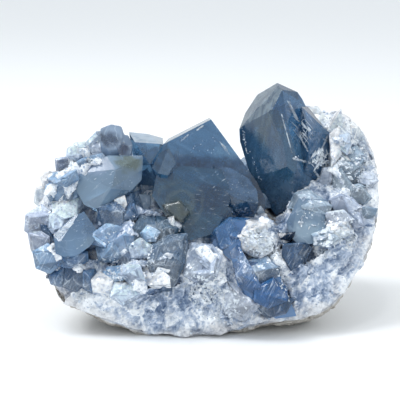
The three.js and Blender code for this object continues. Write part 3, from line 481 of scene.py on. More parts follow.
# Smaller crystals set in the broken face and rim: middle, long axis, width, thickness and length, turn.
SET_CRYSTALS = [
    ((-54.7, -4, 56.5), (-0.2, -0.3, 1), (6.5, 6, 10), 0.2),
    ((-48.5, -4, 57), (0.05, -0.3, 1), (7, 6, 10), 0.1),
    ((-55.6, -10, 48.5), (-0.6, -0.6, 0.4), (7, 6, 9), 0.4),
    ((-57.5, -13, 42), (-0.8, -0.6, 0.1), (5.5, 4.5, 8), 0.9),
    ((-57, -17, 35), (-0.8, -0.5, 0), (5.5, 5, 8), 0.3),
    ((-54, -20, 29), (-0.8, -0.6, -0.1), (6, 5, 8), 1.2),
    ((-51.6, -25, 32), (-0.5, -0.8, -0.1), (6.5, 6, 8), 0.6),
    ((-49.1, -11, 52), (-0.3, -0.7, 0.6), (5.5, 4.5, 9), 0.5),
    ((-46.8, -14, 47.5), (0.2, -0.7, 0.6), (5.5, 4.5, 9), 1.1),
    ((-50.9, -16.5, 44.5), (-0.3, -0.8, 0.4), (6, 5, 9), 0.2),
    ((-31.6, -16.5, 45), (0.2, -0.7, 0.6), (10, 7, 13), 0.3),
    ((-26.3, -14.5, 47), (0.1, -0.4, 0.9), (7.5, 6.5, 13), 0.8),
    ((-19.3, -11, 50), (-0.1, -0.3, 1), (7.5, 6.5, 17), 0.5),
    ((-18.3, -19.5, 39.5), (0, -0.6, 0.8), (7.5, 6.5, 11), 0.2),
    ((-22.6, -22, 35), (0.1, -0.9, 0.4), (6, 6, 9), 0.7),
    ((-29.3, -21.5, 37.5), (-0.3, -0.8, 0.4), (12.5, 9, 13), 0.45),
    ((-12.2, -21.5, 32), (0.05, -0.35, 0.93), (10.5, 8.5, 16), 0.1),
    ((-16.8, -26, 26), (0.2, -0.9, 0.3), (11, 6, 9), 0.3),
    ((-12.7, -16, 41.5), (-0.2, -0.5, 0.8), (7, 5.5, 10), 0.6),
    ((-47.5, -24, 24.4), (-0.4, -0.8, 0), (10, 8, 10), 0.5),
    ((-38.9, -7.5, 61), (-0.2, -0.4, 0.9), (9, 7, 11), 0.4),
    ((-46, -7.5, 55), (-0.1, -0.5, 0.8), (6, 5, 9), 0.9),
    ((31.3, -17, 31), (0.1, -0.8, 0.5), (9.5, 6, 9), 0.4),
    ((27.5, -17, 33), (-0.3, -0.8, 0.4), (5, 5, 8), 0.9),
    ((50.9, 0, 54.5), (0.1, -0.7, 0.5), (7, 6, 10), 0.3),
    ((55.5, 6.5, 62), (0.2, -0.6, 0.6), (6, 6, 9), 0.7),
]
SEATED = 1.2  # how far they are sunk into the face
SET_REACH = 0.62  # how far from its middle a set crystal's skin is looked for, as a share of its sides
SET_FOOT = 0.3  # its foot lies this share of its length behind its middle,
SET_SHORTER = 0.5  # and it stands this share lower over its foot than in the solid

# How white and sugary the wall is, from clear deep blue, 0, to white, 1: middle, radius, how white.
WALL_ZONES = [
    ((-40, -26, 21), 9, 0.85), ((-30, -29, 18), 9, 0.8), ((-33.7, -25.6, 26), 5, 1.0),
    ((-18.6, -26, 17.5), 6, 0.45), ((-48.5, -26, 24), 5, 0.1), ((-37.8, -20, 32), 4, 0.1),
    ((-8, -24, 18), 3, 0.1), ((3, -27, 20), 9, 0.75), ((-1.8, -24.4, 30), 5, 0.8),
    ((20.1, -21.9, 37.2), 6, 1.0), ((26.7, -25.6, 28.5), 5, 0.75), ((32, -20.6, 32.3), 5, 0.1),
    ((24.5, -14, 41), 6, 0.0), ((39, -15.6, 41), 7, 0.75), ((47.5, -18.8, 33), 7, 0.5),
    ((46.4, 7, 63.8), 5, 1.0), ((42.4, 21, 71), 6, 1.0), ((52, 12, 69.5), 5, 0.95),
    ((50.4, -4.3, 57), 4, 0.3), ((55, 4.2, 65), 3, 0.4), ((55, -3, 50.5), 5, 0.75),
    ((49.6, -7.7, 46), 5, 0.65), ((32, -24.8, 20.5), 6, 0.4), ((37.2, -21, 26.5), 5, 0.55),
    ((26.6, -29, 16), 5, 0.3), ((42, -24, 20), 8, 0.6), ((-55, -7, 58), 5, 0.8),
    ((-46.5, -8.7, 58.7), 4, 0.85), ((-49.5, -14, 52.8), 4, 0.95), ((-55.5, -13, 50), 4, 1.0),
    ((-57, -17, 38), 6, 0.9), ((-53, -26, 31), 5, 0.9), ((-45, -2, 63), 7, 1.0), ((-20, 2, 55), 5, 0.2),
    ((-22, -14, 46), 9, 0.15), ((-36, -18, 42), 10, 0.15), ((-18, -19, 37), 10, 0.15),
    ((-44, -18, 47), 8, 0.25), ((-30, -22, 34), 9, 0.2), ((-40, -4, 60), 6, 0.4), ((-44, -24, 32), 6, 0.2),
    ((-48, -22, 28), 6, 0.15),
]
ZONE_BLUR = 0.35  # each zone fades out over this share of its radius
BETWEEN_ZONES = 0.6  # how white the wall is elsewhere,
BETWEEN_WEIGHT = 0.15  # and how much that weighs beside a zone

RIND_RAGGED = 1.2  # how ragged the broken edge of the rind is,
RIND_WAVES = 160  # and how close its waves are, more a metre
RIND_STARTS = (1.2, 3.5)  # how far behind the rim's line the rind begins
RIND_OUTWARDS = (-0.1, 0.2)  # it looks away from the bowl's centre, from a little under square to it
RIM_GREYEST = 0.5  # the wall is greyest within this of the rim,
RIM_GREY = 3  # somewhat grey within this,
RIM_GREY_WIDER = 6  # and within this more at the lower right,
LOWER_RIGHT = ((15, 50), (38, 52))  # which begins over this x and ends over this z
HOLLOW_STARTS = (3, 9)  # how far behind the broken face the hollow's crystals begin
# How far inside the rim crystals and grains begin, and how white the wall is under coarse ones.
DRUSE_INSIDE = (3, 7)
COARSE_INSIDE = (4, 8)
SUGAR_INSIDE = (0.5, 2)
COARSE_WHITE = (0.3, 0.5)
RIND_LUMPS = [(90, 1.2), (300, 0.5)]  # lumps of the rind: how close, more a metre, and how far they stand out
# Broken facets of the wall, the rind and the crust: width, how far they stand out, and seed.
WALL_FACETS = [(7, 0.8, 1), (2, 0.25, 2)]
RIND_FACETS = [(2.4, 0.6, 3)]
CRUST_FACETS = [(3, 0.6, 4), (1.6, 0.4, 5)]
FACET_TILT = 0.9
CELL_STRIDE = 57.3  # sets the cells' draws so far apart that each facet tilts its own way
CRUST_MARKS = {"rind": 0, "rim": 0, "white": 0.4, "druse": 1, "tone": 0.5}  # the same all over the crust

SEED_SKIN = 1.2  # the facets of the skin that grains are set on,
WALL_SKIN = 0.69  # and those of the finished skins
CRUST_SKIN = 0.7
GRAIN_REACH = 1  # a place this near a grain has the grain's tone
GROUND_STEPS = 16  # rounds of smoothing that give the ground the grains stand on
COARSE_GRAINS = {"apart": 4, "density": 0.06, "smallest": 4.5, "largest": 9, "crowding": 1.4, "tilt": 1.5}
FINE_GRAINS = {"apart": 1.6, "density": 0.16, "smallest": 1.2, "largest": 2.8, "crowding": 1.5, "tilt": 1.5}
DRUSE = {"apart": 3.4, "density": 0.07, "smallest": 3, "largest": 7, "crowding": 1.5, "tilt": 0.9}
SUGAR = {"apart": 0.8, "density": 0.5, "smallest": 0.5, "largest": 1.6, "crowding": 2.0, "tilt": 1.5}

# The shapes to scatter are about one unit long: their sizes as shares of that, their angles in degrees.
BLOCK_WIDTH = (0.55, 0.95)
BLOCK_THICK = (0.4, 0.8)
BLOCK_SUNK = 0.28
CUT_EDGES = 2  # how many of its four long edges are cut off,
CUT_REACH = (0.7, 0.92)  # and what that leaves of the way out to the edge
TIP_STEEP = (25, 62)
TIP_REACH = (0.85, 1)
TIP_SIDE_STEEP = (35, 60)
TIP_SIDE_REACH = (0.1, 0.6)
CHUNK_FACES = 9
CHUNK_TURN = 2.4  # from each face of a chunk to the next, in radians, so that they spread evenly
CHUNK_ASIDE = (-0.5, 0.5)
CHUNK_UNEVEN = 0.2
CHUNK_REACH = (0.3, 0.48)
CHUNK_SUNK = 0.24
CHIP_CORNERS = 7
CHIP_FLAT = 0.8  # its corners spread this much less one way
CHIP_REACH = 0.5


# ---- Places and chance ----


def at(x, y, z):
    """A place of the tables in the part's own frame, in metres."""
    return Vector((x, y, z - FLAT_AT)) * MM


def shaken(chance, amount):
    """A chance vector, up to `amount` along each axis."""
    return Vector((chance.uniform(-1, 1), chance.uniform(-1, 1), chance.uniform(-1, 1))) * amount


def smooth(value, low, high):
    """0 below `low`, 1 above `high` and an even swing between them."""
    share = min(1, max(0, (value - low) / (high - low)))
    return share * share * (3 - 2 * share)


def turn_to(along, spin):
    """The turn that lays Z along a direction, after a spin about it."""
    return Vector((0, 0, 1)).rotation_difference(Vector(along).normalized()) @ Quaternion((0, 0, 1), spin)


def above_floor(place):
    """The place, or the one on the floor above it."""
    return Vector((place.x, place.y, max(place.z, 0)))


def eye_line(x, z):
    """Where the eye is, and the way from it to a place of the plane y = 0."""
    return at(*EYE), (at(x, 0, z) - at(*EYE)).normalized()


def between(corners, shares):
    """The place between some corners that their shares give."""
    return [sum(value * share for value, share in zip(row, shares)) / sum(shares) for row in zip(*corners)]


def middle_of(outline):
    return between(outline, [1] * len(outline))


# ---- Meshes ----


def new_object(name, data):
    piece = bpy.data.objects.new(name, data)
    bpy.context.scene.collection.objects.link(piece)
    return piece


def from_bmesh(name, shape):
    mesh = bpy.data.meshes.new(name)
    shape.to_mesh(mesh)
    shape.free()
    return new_object(name, mesh)


def made_plain(piece):
    """Carries out the piece's modifiers."""
    depsgraph = bpy.context.evaluated_depsgraph_get()
    mesh = bpy.data.meshes.new_from_object(piece.evaluated_get(depsgraph))
    piece.modifiers.clear()
    old = piece.data
    piece.data = mesh
    bpy.data.meshes.remove(old)


def node_copy(name, node):
    """A copy of a CAD node's mesh as one closed skin."""
    shape = bmesh.new()
    shape.from_mesh(frame["nodes"][node].data)
    bmesh.ops.remove_doubles(shape, verts=shape.verts, dist=1e-6)
    return from_bmesh(name, shape)


def fine_skin(piece, voxel):
    """Rebuilds a piece's skin in even facets about `voxel` mm wide."""
    remesh = piece.modifiers.new("fine skin", "REMESH")
    remesh.mode = "VOXEL"
    remesh.voxel_size = voxel * MM
    made_plain(piece)


def joined_mesh(piece, others):
    """Adds other pieces' faces to a piece."""
    shape = bmesh.new()
    for part in [piece, *others]:
        shape.from_mesh(part.data)
    shape.to_mesh(piece.data)
    shape.free()


def set_value(mesh, name, values):
    mesh.attributes.new(name, "FLOAT", "POINT").data.foreach_set("value", values)


def set_tints(mesh, tints):
    """Notes a tint for each corner of a mesh's faces."""
    mesh.attributes.new("tint", "FLOAT_COLOR", "CORNER").data.foreach_set("color", tints)


def add_hull(shape, corners):
    """Adds the convex solid round some corners."""
    verts = [shape.verts.new(corner) for corner in corners]
    made = bmesh.ops.convex_hull(shape, input=verts)
    inner = made["geom_interior"] + made["geom_unused"]
    spare = {part for part in inner if isinstance(part, bmesh.types.BMVert)}
    bmesh.ops.delete(shape, geom=list(spare), context="VERTS")


def add_tinted_hull(shape, corners, tint, tints):
    """Adds the convex solid round some corners, and its tint for each corner of its faces."""
    add_hull(shape, corners)
    tints += [*GROWN_TINTS[tint], 1] * (3 * len(shape.faces) - len(tints) // 4)


def cut_block(planes):
    """A block cut by flat faces: each the direction it looks in and its distance from the origin."""
    block = bmesh.new()
    bmesh.ops.create_cube(block, size=4 * max(abs(reach) for _, reach in planes))
    for looks, reach in planes:
        parts = block.verts[:] + block.edges[:] + block.faces[:]
        cut = bmesh.ops.bisect_plane(
            block, geom=parts, dist=1e-7, plane_co=looks * reach, plane_no=looks, clear_outer=True
        )
        edges = [part for part in cut["geom_cut"] if isinstance(part, bmesh.types.BMEdge)]
        if len(edges) > 2:
            bmesh.ops.contextual_create(block, geom=edges)
    bmesh.ops.recalc_face_normals(block, faces=block.faces)
    return block


def skins_of(pieces):
    """One search tree of several pieces' skins."""
    corners = []
    faces = []
    for piece in pieces:
        start = len(corners)
        corners += [vert.co.copy() for vert in piece.data.vertices]
        faces += [[start + k for k in face.vertices] for face in piece.data.polygons]
    return BVHTree.FromPolygons(corners, faces)


# ---- Large crystals ----


def face_planes(corners):
    """The flat faces of the block round some corners, each a little inside its outermost corner."""
    shell = bmesh.new()
    for corner in corners:
        shell.verts.new(at(*corner))
    bmesh.ops.convex_hull(shell, input=shell.verts[:])
    bmesh.ops.recalc_face_normals(shell, faces=shell.faces)
    planes = []
    taken = set()
    for seed in sorted(shell.faces, key=lambda face: -face.calc_area()):
        if seed in taken:
            continue
        taken.add(seed)
        group = [seed]
        for face in group:
            for edge in face.edges:
                for other in edge.link_faces:
                    if other not in taken and other.normal.angle(seed.normal) < FACE_FLATNESS:
                        taken.add(other)
                        group.append(other)
        looks = sum((face.normal * face.calc_area() for face in group), Vector()).normalized()
        reaches = [looks.dot(vert.co) for face in group for vert in face.verts]
        planes.append((looks, 0.5 * (max(reaches) + sum(reaches) / len(reaches))))
    shell.free()
    return planes


def growth_step(planes, chance):
    """The block with one face of the open side a step higher, and the others drawn in."""
    raised = chance.choice([plane for plane in planes if plane[0].y < OPEN_SIDE])
    step = []
    for plane in planes:
        shift = chance.uniform(*STEP_HEIGHT) if plane is raised else -chance.uniform(*STEP_INSET)
        step.append((plane[0], plane[1] + shift * MM))
    return step


def tint_faces(mesh, faces):
    """Notes the tints of a crystal's faces, partly painted shade and reflection: alpha is 1 where a face has
    one.
    """
    corners = [vert.co for vert in mesh.vertices]
    skin = BVHTree.FromPolygons(corners, [face.vertices for face in mesh.polygons])
    tints = np.zeros((len(mesh.loops), 4))
    for (x, z), tint in faces:
        _, _, seen, _ = skin.ray_cast(*eye_line(x, z))
        if seen is None:
            continue
        looks = mesh.polygons[seen].normal
        reach = looks.dot(mesh.polygons[seen].center)
        for face in mesh.polygons:
            if face.normal.dot(looks) > SAME_LOOKS and abs(looks.dot(face.center) - reach) < SAME_FACE * MM:
                tints[list(face.loop_indices)] = (*tint, 1)
    set_tints(mesh, tints.ravel())


def large_crystal(node):
    """A large crystal: its blocks grown together, with growth steps and worn edges."""
    chance = random.Random(node)
    blocks = [face_planes(corners) for corners in CRYSTALS[node]]
    for looks, place, depth in TRIMS.get(node, []):
        looks = Vector(looks).normalized()
        blocks[0].append((looks, looks.dot(at(*place)) - depth * MM))
    count = GROWTH_STEPS.get(node, FEWEST_STEPS)
    steps = [growth_step(chance.choice(blocks[:2]), chance) for _ in range(count)]
    crystal, *others = [from_bmesh(node, cut_block(planes)) for planes in blocks + steps]
    for block in others:
        union = crystal.modifiers.new("grown together", "BOOLEAN")
        union.operation = "UNION"
        union.solver = "EXACT"
        union.object = block
    if node in ROUNDED:
        made_plain(crystal)
        fine_skin(crystal, ROUNDED_SKIN)
        rounding = crystal.modifiers.new("rounded", "SMOOTH")
        rounding.factor = 0.5
        rounding.iterations = ROUNDED[node]
    worn = crystal.modifiers.new("worn edges", "BEVEL")
    worn.width = EDGE_WEAR * MM
    worn.segments = 2
    worn.material = 1
    worn.limit_method = "ANGLE"
    worn.angle_limit = math.radians(ROUNDED_EDGE_ANGLE if node in ROUNDED else EDGE_ANGLE)
    made_plain(crystal)
    for block in others:
        bpy.data.objects.remove(block)
    crystal.name = node + "_glass"
    tint_faces(crystal.data, TINTED_FACES.get(node, []))
    return crystal


def inner_veils():
    """The thin cloudy films inside the large crystals, more or less along each one's cleavage."""
    chance = random.Random(VEIL_SEED)
    shape = bmesh.new()
    for node, blocks in CRYSTALS.items():
        corners = [at(*corner) for corner in blocks[0]]
        planes = face_planes(blocks[0])
        cleavage = Vector((chance.uniform(*CLEAVAGE_ASIDE), -1, chance.uniform(*CLEAVAGE_UP)))
        for _ in range(VEILS[node]):
            picked = chance.sample(corners, 4)
            shares = [chance.random() + VEIL_SHARE for _ in picked]
            middle = sum((corner * share for corner, share in zip(picked, shares)), Vector()) / sum(shares)
            room = min(reach - looks.dot(middle) for looks, reach in planes)
            size = min(VEIL_ROOM * room, chance.uniform(*VEIL_SIZE) * MM)
            turn = turn_to(cleavage + shaken(chance, VEIL_TURN), chance.uniform(0, 2 * math.pi))
            if size < VEIL_SIZE[0] * MM:
                continue
            film = []
            for k in range(VEIL_CORNERS):
                angle = 2 * math.pi * k / VEIL_CORNERS
                reach = size * chance.uniform(*VEIL_RAGGED)
                across = VEIL_NARROW * reach * math.sin(angle)
                for side in (-0.5, 0.5):
                    film.append((reach * math.cos(angle), across, side * VEIL_THICK * MM))
            add_hull(shape, [middle + turn @ Vector(corner) for corner in film])
    return from_bmesh("inner_veils", shape)


def film_lengths(outline):
    """A film's outline: a strip of four corners is cut across into short lengths."""
    if len(outline) != 4:
        return [outline]
    left, right, far_right, far_left = (Vector(corner) for corner in outline)
    if (right - left).length > (far_left - left).length:
        left, right, far_right, far_left = right, far_right, far_left, left
    count = math.ceil((far_left - left).length / FILM_LENGTH)
    lines = [(left.lerp(far_left, k / count), right.lerp(far_right, k / count)) for k in range(count + 1)]
    return [[*near, *far] for near, far in zip(lines, lines[1:])]


def white_films(skins):
    """Films and fractures that lie on the skins."""
    shape = bmesh.new()
    for outline in FILMS:
        for length in film_lengths(outline):
            hits = [skins.ray_cast(*eye_line(x, z)) for x, z in length]
            depths = [hit[3] for hit in hits if hit[0] is not None]
            if len(depths) < len(length) or max(depths) - min(depths) > FILM_JUMP * MM:
                continue
            film = [place + side * looks * FILM_THICK * MM for place, looks, _, _ in hits for side in (-1, 1)]
            add_hull(shape, film)
    return from_bmesh("white_films", shape)


# ---- Smaller crystals and crumbs on the face ----


def tinted_piece(name, shape, tints):
    piece = from_bmesh(name, shape)
    set_tints(piece.data, tints)
    return piece


def add_grown(shape, corners, crest, middle, along, tint, chance):
    """Adds a block with an outline and a crest, and gives the tints of its face corners, with painted light
    on the faces that look up.
    """
    backs = [middle + BACK_SHARE * (corner - middle) + GROWN_DEEP * along * MM for corner in corners]
    block = bmesh.new()
    add_hull(block, [above_floor(corner) for corner in corners + backs + crest])
    bmesh.ops.dissolve_limit(block, angle_limit=SAME_FLAT, verts=block.verts, edges=block.edges)
    bmesh.ops.bevel(
        block, geom=block.edges[:], offset=GROWN_WEAR * EDGE_WEAR * MM, segments=1, affect="EDGES",
        material=1, clamp_overlap=True,
    )
    bmesh.ops.recalc_face_normals(block, faces=block.faces)
    mesh = bpy.data.meshes.new("block")
    block.to_mesh(mesh)
    block.free()
    shape.from_mesh(mesh)
    tints = []
    base = chance.uniform(*BLOCK_TONES)
    for face in mesh.polygons:
        # Faces that look up are brighter: painted light from above.
        painted_top_light = UPWARD_PAINTED_LIGHT * max(0, face.normal.z)
        tone = base * (FACE_TONE + painted_top_light + chance.uniform(-TONE_CHANGE, TONE_CHANGE))
        tints += [*[min(BRIGHTEST, tone * part) for part in tint], 1] * face.loop_total
    bpy.data.meshes.remove(mesh)
    return tints


def seen_on(outline, middle, looks):
    """Where an outline's corners lie in the plane through a place, square to the direction it looks in."""
    eye = at(*EYE)
    ways = [eye_line(x, z)[1] for x, z in outline]
    return [eye + way * ((middle - eye).dot(looks) / way.dot(looks)) for way in ways]


def outline_on(skins, outline, place, along, chance):
    """A block's outline before the wall: its middle and its corners, in a slightly tilted plane."""
    eye = at(*EYE)
    middle = place - along * chance.uniform(*GROWN_PROUD) * MM
    looks = (shaken(chance, GROWN_TILT) - along).normalized()
    corners = [middle + GROWN_SPREAD * (corner - middle) for corner in seen_on(outline, middle, looks)]
    for corner in corners:
        way = (corner - eye).normalized()
        _, _, _, far = skins.ray_cast(eye, way)
        if far is not None:
            corner += way * max(0, far - (corner - eye).length - GROWN_REACH * MM)
    return middle, corners


def grown_blocks(skins):
    """The smaller crystals and lumps grown on the face, flat-topped, with others in their sides."""
    shape = bmesh.new()
    tints = []
    for number, (tint, rise, outline) in enumerate(GROWN):
        chance = random.Random(number)
        tint = GROWN_TINTS[tint]
        eye, along = eye_line(*middle_of(outline))
        place, _, _, _ = skins.ray_cast(eye, along)
        if place is None:
            continue
        middle, corners = outline_on(skins, outline, place, along, chance)
        drawn_in = chance.uniform(*GROWN_TOP)
        reach = max((corner - middle).length for corner in corners)
        lean = shaken(chance, 1).normalized() / reach
        crest = []
        for corner in corners:
            height = rise * (1 + GROWN_LEAN * lean.dot(corner - middle))
            crest.append(middle + drawn_in * (corner - middle) - height * along * MM)
        tints += add_grown(shape, corners, crest, middle, along, tint, chance)
        for _ in range(GROWN_SIDES):
            k = chance.randrange(len(corners))
            ahead = -chance.uniform(*SIDE_STARTS) * rise * along * MM
            side = [corners[(k + step) % len(corners)] for step in range(3)]
            side.append(middle + chance.uniform(*SIDE_INNER) * (side[1] - middle))
            side = [corner + ahead for corner in side]
            centre = sum(side, Vector()) / 4
            top = centre - chance.uniform(*SIDE_RISE) * rise * along * MM
            crest = [top + chance.uniform(*SIDE_TOP) * (corner - centre) for corner in side]
            tints += add_grown(shape, side, crest, centre, along, tint, chance)
    return tinted_piece("grown_blocks", shape, tints)


def flashing_face(skins):
    """The corners of the block under the face that flashes white; its flash is a painted highlight in its
    tint.
    """
    eye, along = eye_line(*middle_of(FLASH))
    middle = skins.ray_cast(eye, along)[0] - along * FLASH_PROUD * MM
    looks = Vector(FLASH_LOOKS).normalized()
    corners = seen_on(FLASH, middle, looks)
    return corners + [middle + BACK_SHARE * (corner - middle) - FLASH_DEEP * looks * MM for corner in corners]


def broken_crumbs(skins):
    """Crumbs on the skins, thickest in the middle of each heap, and the face that flashes, its flash a
    painted highlight.
    """
    chance = random.Random(CRUMB_SEED)
    shape = bmesh.new()
    tints = []
    for outline, count, sizes, tint in CRUMBS:
        for _ in range(count):
            corners = chance.sample(outline, 3)
            shares = [chance.random() + CRUMB_SHARE for _ in corners]
            place, looks, _, _ = skins.ray_cast(*eye_line(*between(corners, shares)))
            if place is None:
                continue
            size = chance.uniform(*sizes) * MM
            middle = place + CRUMB_PROUD * size * looks
            corners = [shaken(chance, CRUMB_REACH * size) for _ in range(CRUMB_CORNERS)]
            corners = [middle + corner - CRUMB_FLAT * corner.dot(looks) * looks for corner in corners]
            add_tinted_hull(shape, [above_floor(corner) for corner in corners], tint, tints)
    # The face's near-white tint is a painted highlight.
    add_tinted_hull(shape, flashing_face(skins), "painted_flash", tints)
    return tinted_piece("broken_crumbs", shape, tints)


# ---- Shapes to scatter ----


def prism_planes(width, thick, length, chance):
    """The faces of a blocky crystal: four sides, some cut-off side edges, and an uneven chisel tip."""
    planes = [
        (Vector((1, 0, 0)), width / 2), (Vector((-1, 0, 0)), width / 2),
        (Vector((0, 1, 0)), thick / 2), (Vector((0, -1, 0)), thick / 2),
        (Vector((0, 0, -1)), length / 2),
    ]
    corner = math.hypot(width, thick) / 2
    for k in chance.sample(range(4), CUT_EDGES):
        angle = math.atan2(thick, width) * (1 if k % 2 else -1) + (math.pi if k > 1 else 0)
        planes.append((Vector((math.cos(angle), math.sin(angle), 0)), corner * chance.uniform(*CUT_REACH)))
    for side in (-1, 1):
        steep = math.radians(chance.uniform(*TIP_STEEP))
        looks = Vector((0, side * math.sin(steep), math.cos(steep)))
        planes.append((looks, length / 2 * math.cos(steep) * chance.uniform(*TIP_REACH)))
    steep = math.radians(chance.uniform(*TIP_SIDE_STEEP))
    looks = Vector((chance.choice((-1, 1)) * math.sin(steep), 0, math.cos(steep)))
    beside = width / 2 * math.sin(steep) * chance.uniform(*TIP_SIDE_REACH)
    planes.append((looks, length / 2 * math.cos(steep) + beside))
    return planes


def block_shape(chance):
    """A blocky crystal one unit long, about a fifth of it standing out of what it grows on."""
    shape = cut_block(prism_planes(chance.uniform(*BLOCK_WIDTH), chance.uniform(*BLOCK_THICK), 1, chance))
    bmesh.ops.translate(shape, vec=(0, 0, -BLOCK_SUNK), verts=shape.verts)
    return shape


def chunk_shape(chance):
    """A broken grain about one unit across, with a few flat faces."""
    planes = []
    for k in range(CHUNK_FACES):
        lift = 1 - 2 * (k + 0.5) / CHUNK_FACES
        angle = CHUNK_TURN * k + chance.uniform(*CHUNK_ASIDE)
        ring = math.sqrt(1 - lift * lift)
        looks = Vector((ring * math.cos(angle), ring * math.sin(angle), lift)) + shaken(chance, CHUNK_UNEVEN)
        planes.append((looks.normalized(), chance.uniform(*CHUNK_REACH)))
    shape = cut_block(planes)
    bmesh.ops.translate(shape, vec=(0, 0, -CHUNK_SUNK), verts=shape.verts)
    return shape


def chip_shape(chance):
    """A splinter about one unit across."""
    shape = bmesh.new()
    corners = []
    for _ in range(CHIP_CORNERS):
        corner = Vector((chance.gauss(0, 1), chance.gauss(0, 1), chance.gauss(0, CHIP_FLAT)))
        corners.append(corner.normalized() * CHIP_REACH)
    add_hull(shape, corners)
    return shape


def small_shapes(name, make, count, seed):
    """A collection of a few shapes to scatter."""
    shapes = bpy.data.collections.new(name)
    chance = random.Random(seed)
    for number in range(count):
        mesh = bpy.data.meshes.new(name)
        shape = make(chance)
        shape.to_mesh(mesh)
        shape.free()
        shapes.objects.link(bpy.data.objects.new(name + str(number), mesh))
    return shapes


# ---- Scattering ----


def feed(tree, sockets, values):
    """Gives each socket its value: a plain one, or what another node puts out."""
    for socket, value in zip(sockets, values):
        if isinstance(value, bpy.types.NodeSocket):
            tree.links.new(value, socket)
        else:
            socket.default_value = value


def built(tree, kind, output=0, settings=(), **values):
    """What a new node puts out; its inputs are fed by their names, with a lower dash for a space."""
    node = tree.nodes.new(kind)
    for name, setting in settings:
        setattr(node, name, setting)
    feed(tree, [node.inputs[name.replace("_", " ")] for name in values], values.values())
    return node.outputs[output]


def combined(tree, operation, first, second):
    """Two numbers put together; each a plain one or a socket."""
    node = tree.nodes.new("ShaderNodeMath")
    node.operation = operation
    feed(tree, node.inputs, (first, second))
    return node.outputs[0]


def times(tree, first, second):
    return combined(tree, "MULTIPLY", first, second)


def plus(tree, first, second):
    return combined(tree, "ADD", first, second)


def chance_value(tree, kind, low, high, seed, number):
    """A chance number from low to high for each spot, the tree's draw of this number."""
    node = tree.nodes.new("FunctionNodeRandomValue")
    node.data_type = kind
    feed(tree, [socket for socket in node.inputs if socket.enabled], (low, high))
    tree.links.new(plus(tree, seed, number), node.inputs["Seed"])
    return next(socket for socket in node.outputs if socket.enabled)


def grown_spots(tree, sizes, marks):
    """Spots on the surface, none too near another, and more where the attribute `marks` is high."""
    share = built(tree, "GeometryNodeInputNamedAttribute", "Attribute", [("data_type", "FLOAT")], Name=marks)
    return built(
        tree, "GeometryNodeDistributePointsOnFaces", "Points", [("distribute_method", "POISSON")],
        Mesh=sizes["Surface"], Distance_Min=sizes["Apart"], Density_Max=sizes["Density"],
        Density_Factor=share, Seed=sizes["Seed"],
    ).node.outputs


def grown_turn(tree, sizes, upright):
    """Each shape stands on the surface, tilted by chance and turned about its own length."""
    tilt, seed = sizes["Tilt"], sizes["Seed"]
    back = times(tree, tilt, -1)
    lean = [chance_value(tree, "FLOAT", back, tilt, seed, number) for number in (1, 2)]
    spin = chance_value(tree, "FLOAT", 0.0, 2 * math.pi, seed, 3)
    angles = built(tree, "ShaderNodeCombineXYZ", X=lean[0], Y=lean[1], Z=spin)
    turn = built(tree, "FunctionNodeEulerToRotation", Euler=angles)
    own_axes = [("rotation_space", "LOCAL")]
    return built(tree, "FunctionNodeRotateRotation", 0, own_axes, Rotation=upright, Rotate_By=turn)


def grown_size(tree, sizes):
    """Each shape's size, more of them small the higher the crowding."""
    drawn = chance_value(tree, "FLOAT", 0.0, 1.0, sizes["Seed"], 4)
    drawn = combined(tree, "POWER", drawn, sizes["Crowding"])
    return built(tree, "ShaderNodeMapRange", Value=drawn, To_Min=sizes["Smallest"], To_Max=sizes["Largest"])


def toned(tree, grown, seed):
    """Notes a chance tone for each shape as the attribute `tone`."""
    kinds = [("data_type", "FLOAT"), ("domain", "INSTANCE")]
    marked = built(tree, "GeometryNodeStoreNamedAttribute", 0, kinds, Name="tone", Geometry=grown)
    value = next(socket for socket in marked.node.inputs if socket.name == "Value" and socket.enabled)
    tree.links.new(chance_value(tree, "FLOAT", 0.0, 1.0, seed, 6), value)
    return marked


def scatter_tree(shapes, material, marks):
    """Sets small shapes on a surface, more of them where the attribute `marks` is high."""
    tree = bpy.data.node_groups.new("set " + shapes.name, "GeometryNodeTree")
    tree.interface.new_socket("Surface", in_out="INPUT", socket_type="NodeSocketGeometry")
    for name in ("Apart", "Density", "Smallest", "Largest", "Crowding", "Tilt"):
        tree.interface.new_socket(name, in_out="INPUT", socket_type="NodeSocketFloat")
    tree.interface.new_socket("Seed", in_out="INPUT", socket_type="NodeSocketInt")
    tree.interface.new_socket("Grown", in_out="OUTPUT", socket_type="NodeSocketGeometry")
    sizes = tree.nodes.new("NodeGroupInput").outputs
    spots = grown_spots(tree, sizes, marks)
    choice = built(
        tree, "GeometryNodeCollectionInfo", Collection=shapes, Separate_Children=True, Reset_Children=True
    )
    placed = built(
        tree, "GeometryNodeInstanceOnPoints", Pick_Instance=True, Points=spots["Points"], Instance=choice,
        Instance_Index=chance_value(tree, "INT", 0, len(shapes.objects) - 1, sizes["Seed"], 5),
        Rotation=grown_turn(tree, sizes, spots["Rotation"]), Scale=grown_size(tree, sizes),
    )
    real = built(tree, "GeometryNodeRealizeInstances", Geometry=toned(tree, placed, sizes["Seed"]))
    finished = built(tree, "GeometryNodeSetMaterial", Geometry=real, Material=material)
    tree.links.new(finished, tree.nodes.new("NodeGroupOutput").inputs[0])
    return tree


def scattered(name, surface, shapes, material, marks, **sizes):
    """A piece of small shapes set on a surface; lengths in mm, density a square mm."""
    units = {"apart": MM, "density": 1 / MM**2, "smallest": MM, "largest": MM}
    tree = scatter_tree(shapes, material, marks)
    piece = new_object(name, surface.data.copy())
    grow = piece.modifiers.new("grown on", "NODES")
    grow.node_group = tree
    for socket in tree.interface.items_tree:
        size = sizes.get(socket.name.lower())
        if size is not None:
            grow[socket.identifier] = size * units.get(socket.name.lower(), 1)
    made_plain(piece)
    bpy.data.node_groups.remove(tree)
    for vert in piece.data.vertices:
        vert.co = above_floor(vert.co)
    return piece


# ---- The wall ----


def face_axes():
    """The broken face's own axes: right, up along the face, and out of it."""
    out = Vector(FACE_LOOKS).normalized()
    right = Vector((1, 0, 0))
    return right, out.cross(right), out


